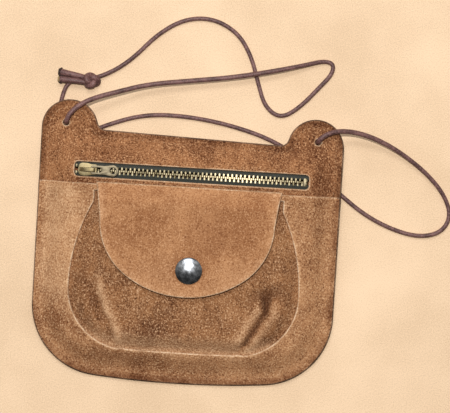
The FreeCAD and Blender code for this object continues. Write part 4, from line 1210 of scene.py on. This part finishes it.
# %% [markdown]
# ## Press stud
# The stud is turned work, so each part is a half section spun round the stud's axis: the cap outside
# the flap, the socket inside it, and the stud with its post on the pocket.

# %% Press stud
FLAP_UNDER = FLAP_TOP - FLAP_LEATHER


def turned(name, section, material, body, turns=48):
    """A section of radii and heights, spun about the press stud's axis."""
    bm = bmesh.new()
    verts = [bm.verts.new((SNAP.x + radius, SNAP.y, height)) for radius, height in section]
    edges = [bm.edges.new(pair) for pair in zip(verts, verts[1:])]
    bmesh.ops.spin(bm, geom=verts + edges, cent=SNAP, axis=(0, 0, 1), angle=math.tau, steps=turns,
                   use_merge=True)
    bmesh.ops.remove_doubles(bm, verts=bm.verts[:], dist=0.001)
    bmesh.ops.recalc_face_normals(bm, faces=bm.faces[:])
    return piece_from(bm, name, [material], body, angle=38)


def dome(radius, low, high, steps=9):
    """Points up a shallow dome's side, from its rim to its crown."""
    rise = high - low
    curve = (radius ** 2 + rise ** 2) / (2 * rise)
    swing = math.asin(radius / curve)
    angles = [swing * (1 - index / steps) for index in range(steps + 1)]
    return [(curve * math.sin(angle), high - curve * (1 - math.cos(angle))) for angle in angles]


CAP = 7.5
CAP_RISE = 1.9
cap = turned("snap_cap_turned", [(0, FLAP_TOP - 0.4), (CAP - 1.0, FLAP_TOP - 0.35), (CAP - 0.45, FLAP_TOP - 0.1),
                                 (CAP - 0.08, FLAP_TOP + 0.12), (CAP, FLAP_TOP + 0.32)]
             + dome(CAP - 0.12, FLAP_TOP + 0.5, FLAP_TOP + CAP_RISE), DARK_NICKEL, "flap")
socket = turned("snap_socket_turned", [
    (0, FLAP_UNDER), (4.6, FLAP_UNDER), (5.45, FLAP_UNDER - 0.15), (5.6, FLAP_UNDER - 0.6),
    (5.3, FLAP_UNDER - 1.0), (4.0, FLAP_UNDER - 1.25), (3.8, FLAP_UNDER - 1.65), (3.3, FLAP_UNDER - 1.8),
    (2.6, FLAP_UNDER - 1.7), (2.45, FLAP_UNDER - 1.1), (2.6, FLAP_UNDER - 0.6), (0, FLAP_UNDER - 0.5)],
    DARK_NICKEL, "flap")
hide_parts("snap_cap")
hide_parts("snap_socket")
POCKET_TOP = 13.0
stud = turned("snap_stud_turned", [
    (0, POCKET_TOP + 2.0), (1.3, POCKET_TOP + 1.95), (1.85, POCKET_TOP + 1.6), (1.9, POCKET_TOP + 1.2),
    (1.5, POCKET_TOP + 0.75), (1.6, POCKET_TOP + 0.45), (3.9, POCKET_TOP + 0.32), (4.45, POCKET_TOP + 0.1),
    (4.6, POCKET_TOP - 0.3), (0, POCKET_TOP - 0.35)], DARK_NICKEL, "root")
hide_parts("snap_stud")
post_low, post_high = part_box("snap_post")
post = frame["nodes"]["snap_post"]
post.data.materials.clear()
post.data.materials.append(DARK_NICKEL)
print("stud cap:", round(2 * CAP, 1), "mm")

# %% [markdown]
# ## Zip
# A metal zip is two woven tapes with a bead along the inner edge, a row of teeth clamped on each bead
# and a slider that joins the rows. Each tooth is a small bevelled block with a narrower head, the same
# one a hundred times, so it has few faces.

# %% Tapes
CHAIN_Z = 7.85
TAPE_LEFT, TAPE_RIGHT = -66.0, 67.2
TAPE_OUTER = 6.4
BEAD = 0.75
TAPE_HALF_THICK = 0.22


def tape(name, side):
    """A tape's section, a bead that runs into a flat web, drawn along the zip's length."""
    bm = bmesh.new()
    bead_y = CHAIN_Y + side * (1.35 + BEAD)
    start = math.asin(TAPE_HALF_THICK / BEAD)
    loop = []
    for index in range(9):
        angle = start + (math.tau - 2 * start) * index / 8
        loop.append(bm.verts.new((TAPE_LEFT, bead_y + side * BEAD * math.cos(angle),
                                  CHAIN_Z + BEAD * math.sin(angle))))
    for drop in (-1, 1):
        loop.append(bm.verts.new((TAPE_LEFT, CHAIN_Y + side * TAPE_OUTER, CHAIN_Z + drop * TAPE_HALF_THICK)))
    edges = [bm.edges.new(pair) for pair in zip(loop, loop[1:] + loop[:1])]
    ends = [bmesh.ops.contextual_create(bm, geom=edges)["faces"][0]]
    steps = 48
    front = edges
    for _ in range(steps):
        grown = bmesh.ops.extrude_edge_only(bm, edges=front)["geom"]
        front = [item for item in grown if isinstance(item, bmesh.types.BMEdge) and item.is_boundary]
        moved = {vert for edge in front for vert in edge.verts}
        bmesh.ops.translate(bm, vec=((TAPE_RIGHT - TAPE_LEFT) / steps, 0, 0), verts=list(moved))
    bmesh.ops.contextual_create(bm, geom=front)
    bmesh.ops.recalc_face_normals(bm, faces=bm.faces[:])
    return piece_from(bm, name, [ZIP_TAPE], angle=60)


tape_upper = tape("tape_upper", 1)
tape_lower = tape("tape_lower", -1)
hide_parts("zip_tape_upper")
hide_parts("zip_tape_lower")

# %% Teeth
PITCH = 2.36
TOOTH_COUNT = 50
TOOTH_FIRST = -54.6
TOOTH_THICK = 1.15
TOOTH_REACH = 2.3
TOOTH_HEAD = 0.45
TOOTH_HALF_HIGH = 1.05
# The teeth are brighter round this place along the zip.
BRIGHTEST_X = 27.0


def block(bm, middle, size, soften, segments=2):
    """A box with softened edges."""
    made = bmesh.ops.create_cube(bm, size=1.0)
    bmesh.ops.scale(bm, vec=size, verts=made["verts"])
    bmesh.ops.translate(bm, vec=middle, verts=made["verts"])
    edges = list({edge for vert in made["verts"] for edge in vert.link_edges})
    bmesh.ops.bevel(bm, geom=edges, offset=soften, affect="EDGES", segments=segments, profile=0.5,
                    material=-1)


def teeth_row(name, side):
    """Fifty teeth on one tape: side 1 is the upper row, and -1 the lower, half a pitch along."""
    bm = bmesh.new()
    first = TOOTH_FIRST + (0 if side > 0 else PITCH / 2)
    for index in range(TOOTH_COUNT):
        x = first + index * PITCH
        root_y = CHAIN_Y + side * TOOTH_REACH
        waist_y = CHAIN_Y + side * 0.55
        head_y = CHAIN_Y - side * TOOTH_HEAD
        block(bm, (x, (root_y + waist_y) / 2, CHAIN_Z),
              (TOOTH_THICK, abs(root_y - waist_y), 2 * TOOTH_HALF_HIGH), 0.22, 1)
        block(bm, (x, (waist_y + head_y) / 2, CHAIN_Z),
              (TOOTH_THICK * 0.86, abs(waist_y - head_y) + 0.3, 1.7 * TOOTH_HALF_HIGH), 0.2, 1)
    tone_shift = bm.verts.layers.float.new("wear_and_painted_light")
    for vert in bm.verts:
        vert[tone_shift] = 0.85 * math.exp(-((vert.co.x - BRIGHTEST_X) / 15.0) ** 2)
    return piece_from(bm, name, [ANTIQUE_BRASS], angle=25)


teeth_upper = teeth_row("teeth_upper", 1)
teeth_lower = teeth_row("teeth_lower", -1)
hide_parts("zip_teeth_upper")
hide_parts("zip_teeth_lower")
print("teeth:", 2 * TOOTH_COUNT, "of", len(teeth_upper.data.polygons) // TOOTH_COUNT, "faces")

# %% Stops
def clamp(name, blocks):
    """A small metal clamp made of one or more blocks, each with its middle, size and softening."""
    bm = bmesh.new()
    for middle, size, soften in blocks:
        block(bm, middle, size, soften)
    return piece_from(bm, name, [ANTIQUE_BRASS], angle=35)


stop_upper = clamp("stop_upper", [((-63.35, CHAIN_Y + 1.9, CHAIN_Z), (1.3, 1.9, 2.1), 0.3)])
stop_lower = clamp("stop_lower", [((-63.35, CHAIN_Y - 1.9, CHAIN_Z), (1.3, 1.9, 2.1), 0.3)])
stop_bottom = clamp("stop_bottom", [((64.1, CHAIN_Y, CHAIN_Z), (2.2, 4.6, 2.2), 0.35),
                                    ((64.1, CHAIN_Y, CHAIN_Z + 0.95), (1.2, 3.2, 0.5), 0.2)])
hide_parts("zip_top_stops")
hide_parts("zip_bottom_stop")

# %% [markdown]
# The slider is a cast body, broad where the rows part and narrow where they close, with an arched
# crown. The pull hangs on the crown by a bar and ends in a plate with a round hole.

# %% Slider
SLIDER_LEFT = -62.3
SLIDER_LENGTH = 10.3
SLIDER_WIDE = 3.6
SLIDER_NARROW = 2.95
PLATE_UNDER, PLATE_TOP = 9.1, 10.0
PLATE = PLATE_TOP - PLATE_UNDER
CROWN_TOP = PLATE_TOP + 2.8


def raise_face(bm, low, thickness):
    """Fills a flat outline with one face, sets its height and gives it thickness."""
    bmesh.ops.triangle_fill(bm, use_beauty=True, use_dissolve=True, edges=bm.edges[:], normal=(0, 0, 1))
    bmesh.ops.translate(bm, vec=(0, 0, low), verts=bm.verts[:])
    grown = bmesh.ops.extrude_face_region(bm, geom=bm.faces[:])["geom"]
    top = [item for item in grown if isinstance(item, bmesh.types.BMVert)]
    bmesh.ops.translate(bm, vec=(0, 0, thickness), verts=top)
    bmesh.ops.recalc_face_normals(bm, faces=bm.faces[:])


def soften_edges(bm, width, segments=2, sharper_than=40):
    """Bevels the edges between faces that meet at a marked angle."""
    bm.normal_update()
    sharp = [edge for edge in bm.edges
             if len(edge.link_faces) == 2 and math.degrees(edge.calc_face_angle(0)) > sharper_than]
    bmesh.ops.bevel(bm, geom=sharp, offset=width, affect="EDGES", segments=segments, profile=0.5,
                    material=-1, clamp_overlap=True)


def slider_outline(bm, shrink=0.0):
    left, right = SLIDER_LEFT + shrink, SLIDER_LEFT + SLIDER_LENGTH - shrink
    wide, narrow = SLIDER_WIDE - shrink, SLIDER_NARROW - shrink
    pen = Pen(bm, left, CHAIN_Y + 1.0, step=0.5)
    pen.line(left, CHAIN_Y - 1.0)
    pen.arc(left + wide - 1.0, CHAIN_Y - 1.0, 90)
    pen.line(left + 5.0, CHAIN_Y - wide)
    pen.line(left + 7.5, CHAIN_Y - narrow)
    pen.line(right - 0.6, CHAIN_Y - narrow)
    pen.arc(right - 0.6, CHAIN_Y - narrow + 0.6, 90)
    pen.line(right, CHAIN_Y + narrow - 0.6)
    pen.arc(right - 0.6, CHAIN_Y + narrow - 0.6, 90)
    pen.line(left + 7.5, CHAIN_Y + narrow)
    pen.line(left + 5.0, CHAIN_Y + wide)
    pen.line(left + wide - 1.0, CHAIN_Y + wide)
    pen.arc(left + wide - 1.0, CHAIN_Y + 1.0, 90)
    return pen.close()


def slider_piece():
    """Top and bottom plate, the two flanges that hold the rows in, and the post that parts them."""
    whole = bmesh.new()
    for low in (PLATE_UNDER, 2 * CHAIN_Z - PLATE_TOP):
        bm = bmesh.new()
        slider_outline(bm)
        raise_face(bm, low, PLATE)
        soften_edges(bm, 0.22)
        part = bpy.data.meshes.new("slider_plate")
        bm.to_mesh(part)
        bm.free()
        whole.from_mesh(part)
    for side in (-1, 1):
        for drop in (-1, 1):
            block(whole, (SLIDER_LEFT + 7.4, CHAIN_Y + side * 2.76, CHAIN_Z + drop * 0.9),
                  (4.6, 0.36, 0.62), 0.1)
    block(whole, (SLIDER_LEFT + 2.2, CHAIN_Y, CHAIN_Z), (2.4, 1.5, 2.6), 0.3)
    return piece_from(whole, "slider_cast", [SLIDER_BRASS], "slider", angle=30)


def crown_piece():
    """The arch: its side view drawn as an outline with a slot, given width, then stood upright."""
    bm = bmesh.new()
    left, right = SLIDER_LEFT + 0.5, SLIDER_LEFT + SLIDER_LENGTH - 0.9
    low, high = PLATE_TOP - 0.15, CROWN_TOP
    outer = Pen(bm, left, low)
    outer.line(right, low)
    outer.line(right, high - 1.0)
    outer.arc(right - 1.0, high - 1.0, 90)
    outer.line(left + 3.4, high - 0.25)
    outer.line(left + 1.2, low + 1.2)
    outer.close()
    slot = Pen(bm, left + 2.4, low + 0.3)
    slot.line(right - 0.9, low + 0.3)
    slot.line(right - 0.9, high - 1.2)
    slot.line(right - 1.4, high - 0.85)
    slot.line(left + 3.8, high - 1.1)
    slot.close()
    raise_face(bm, -1.1, 2.2)
    soften_edges(bm, 0.28, 3)
    upright = Matrix.Translation((0, CHAIN_Y, 0)) @ Matrix.Rotation(math.pi / 2, 4, "X")
    bmesh.ops.transform(bm, matrix=upright, verts=bm.verts[:])
    return piece_from(bm, "crown_cast", [SLIDER_BRASS], "slider", angle=35)


slider = slider_piece()
crown = crown_piece()
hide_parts("slider_body")
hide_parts("slider_crown")

# %% Pull
PULL_PIN_X = -54.8
PULL_END = PULL_PIN_X + 14.9
PULL_HALF = 3.2
PULL_EYE_HALF = 2.5
PULL_SLOT = 5.6
PULL_LOW = 10.4
PULL_THICK = 1.0
PULL_HOLE = 1.8


def pull_piece():
    """A waisted plate with an eye at the crown and a hole at its free end."""
    bm = bmesh.new()
    pen = Pen(bm, PULL_PIN_X - 0.5, CHAIN_Y + 1.4, step=0.5)
    pen.line(PULL_PIN_X - 0.5, CHAIN_Y - 1.4)
    pen.arc(PULL_PIN_X + 0.6, CHAIN_Y - 1.4, 90)
    pen.line(PULL_PIN_X + 4.6, CHAIN_Y - PULL_EYE_HALF)
    pen.line(PULL_PIN_X + 7.2, CHAIN_Y - PULL_EYE_HALF + 0.05)
    pen.line(PULL_END - 3.4, CHAIN_Y - PULL_HALF)
    pen.arc(PULL_END - 3.2, CHAIN_Y, 180)
    pen.line(PULL_PIN_X + 7.2, CHAIN_Y + PULL_EYE_HALF - 0.05)
    pen.line(PULL_PIN_X + 4.6, CHAIN_Y + PULL_EYE_HALF)
    pen.line(PULL_PIN_X + 0.6, CHAIN_Y + PULL_EYE_HALF)
    pen.arc(PULL_PIN_X + 0.6, CHAIN_Y + 1.4, 90)
    pen.close()
    slot = Pen(bm, PULL_PIN_X + 0.5, CHAIN_Y + 1.4, step=0.4)
    slot.line(PULL_PIN_X + 0.5, CHAIN_Y - 1.4)
    slot.line(PULL_PIN_X + PULL_SLOT - 1.4, CHAIN_Y - 1.4)
    slot.arc(PULL_PIN_X + PULL_SLOT - 1.4, CHAIN_Y, 180)
    slot.close()
    hole = Pen(bm, PULL_END - 3.0 + PULL_HOLE, CHAIN_Y, step=0.5)
    hole.arc(PULL_END - 3.0, CHAIN_Y, 360)
    hole.close()
    raise_face(bm, PULL_LOW, PULL_THICK)
    soften_edges(bm, 0.2, 2)
    return piece_from(bm, "pull_cast", [PULL_BRASS], "pull", angle=30)


pull = pull_piece()
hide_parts("pull_tab")
print("zip pieces:", slider.name, crown.name, pull.name)

# %% [markdown]
# Each tape, row of teeth and top stop is given a mesh of its own.

for side, pieces in ((1, (tape_upper, teeth_upper, stop_upper)), (-1, (tape_lower, teeth_lower, stop_lower))):
    for piece in pieces:
        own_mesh(piece)

# %% [markdown]
# ## Stitches
# The seams are sewn with a pale thread. Each stitch is a short capsule, half sunk in the leather, and a
# row follows the same outlines as the leather itself.

# %% Stitch helpers
STITCH = 2.0
STITCH_GAP = 1.0
THREAD_HALF = 0.24


def walk(path, pitch, closed=True):
    """Evenly spaced places along a path, with the heading at each."""
    spots = [vert.co.xy.copy() for vert in path]
    if closed:
        spots.append(spots[0])
    left_over = pitch / 2
    for start, end in zip(spots, spots[1:]):
        run = end - start
        if run.length < 1e-6:
            continue
        while left_over < run.length:
            yield start + run * (left_over / run.length), math.atan2(run.y, run.x)
            left_over += pitch
        left_over -= run.length


def stitches(name, places, height, body="root", slant=0.12):
    """Capsules along the places, each turned along the row and tipped to follow the surface."""
    bm = bmesh.new()
    for spot, heading in places:
        ahead = Vector((math.cos(heading), math.sin(heading))) * STITCH / 2
        low = height(*(spot - ahead))
        high = height(*(spot + ahead))
        middle = Vector((spot.x, spot.y, (low + high) / 2 + 0.02))
        made = bmesh.ops.create_icosphere(bm, subdivisions=1, radius=1.0)
        tip = Matrix.Rotation(-math.atan2(high - low, STITCH), 4, "Y")
        turn = Matrix.Rotation(heading + slant, 4, "Z")
        size = Matrix.Diagonal((STITCH / 2, THREAD_HALF, THREAD_HALF, 1))
        bmesh.ops.transform(bm, matrix=Matrix.Translation(middle) @ turn @ tip @ size, verts=made["verts"])
    row = piece_from(bm, name, [THREAD], body, angle=80)
    print(name + ":", len(row.data.polygons) // 20, "stitches")
    return row


# %% Stitch rows
def path_of(draw):
    """An outline drawn only to be walked along."""
    bm = bmesh.new()
    path = draw(bm)
    return list(walk(path, STITCH + STITCH_GAP))


def front_skin(x, y):
    return yoke_height(x, y) if y > SEAM_Y else frame_height(x, y)


edge_row = stitches("stitches_edge", path_of(lambda bm: draw_pouch(bm, 4.2)), front_skin)
window_row = stitches("stitches_window", path_of(lambda bm: draw_window(bm, 2.0)), front_skin, slant=0.35)
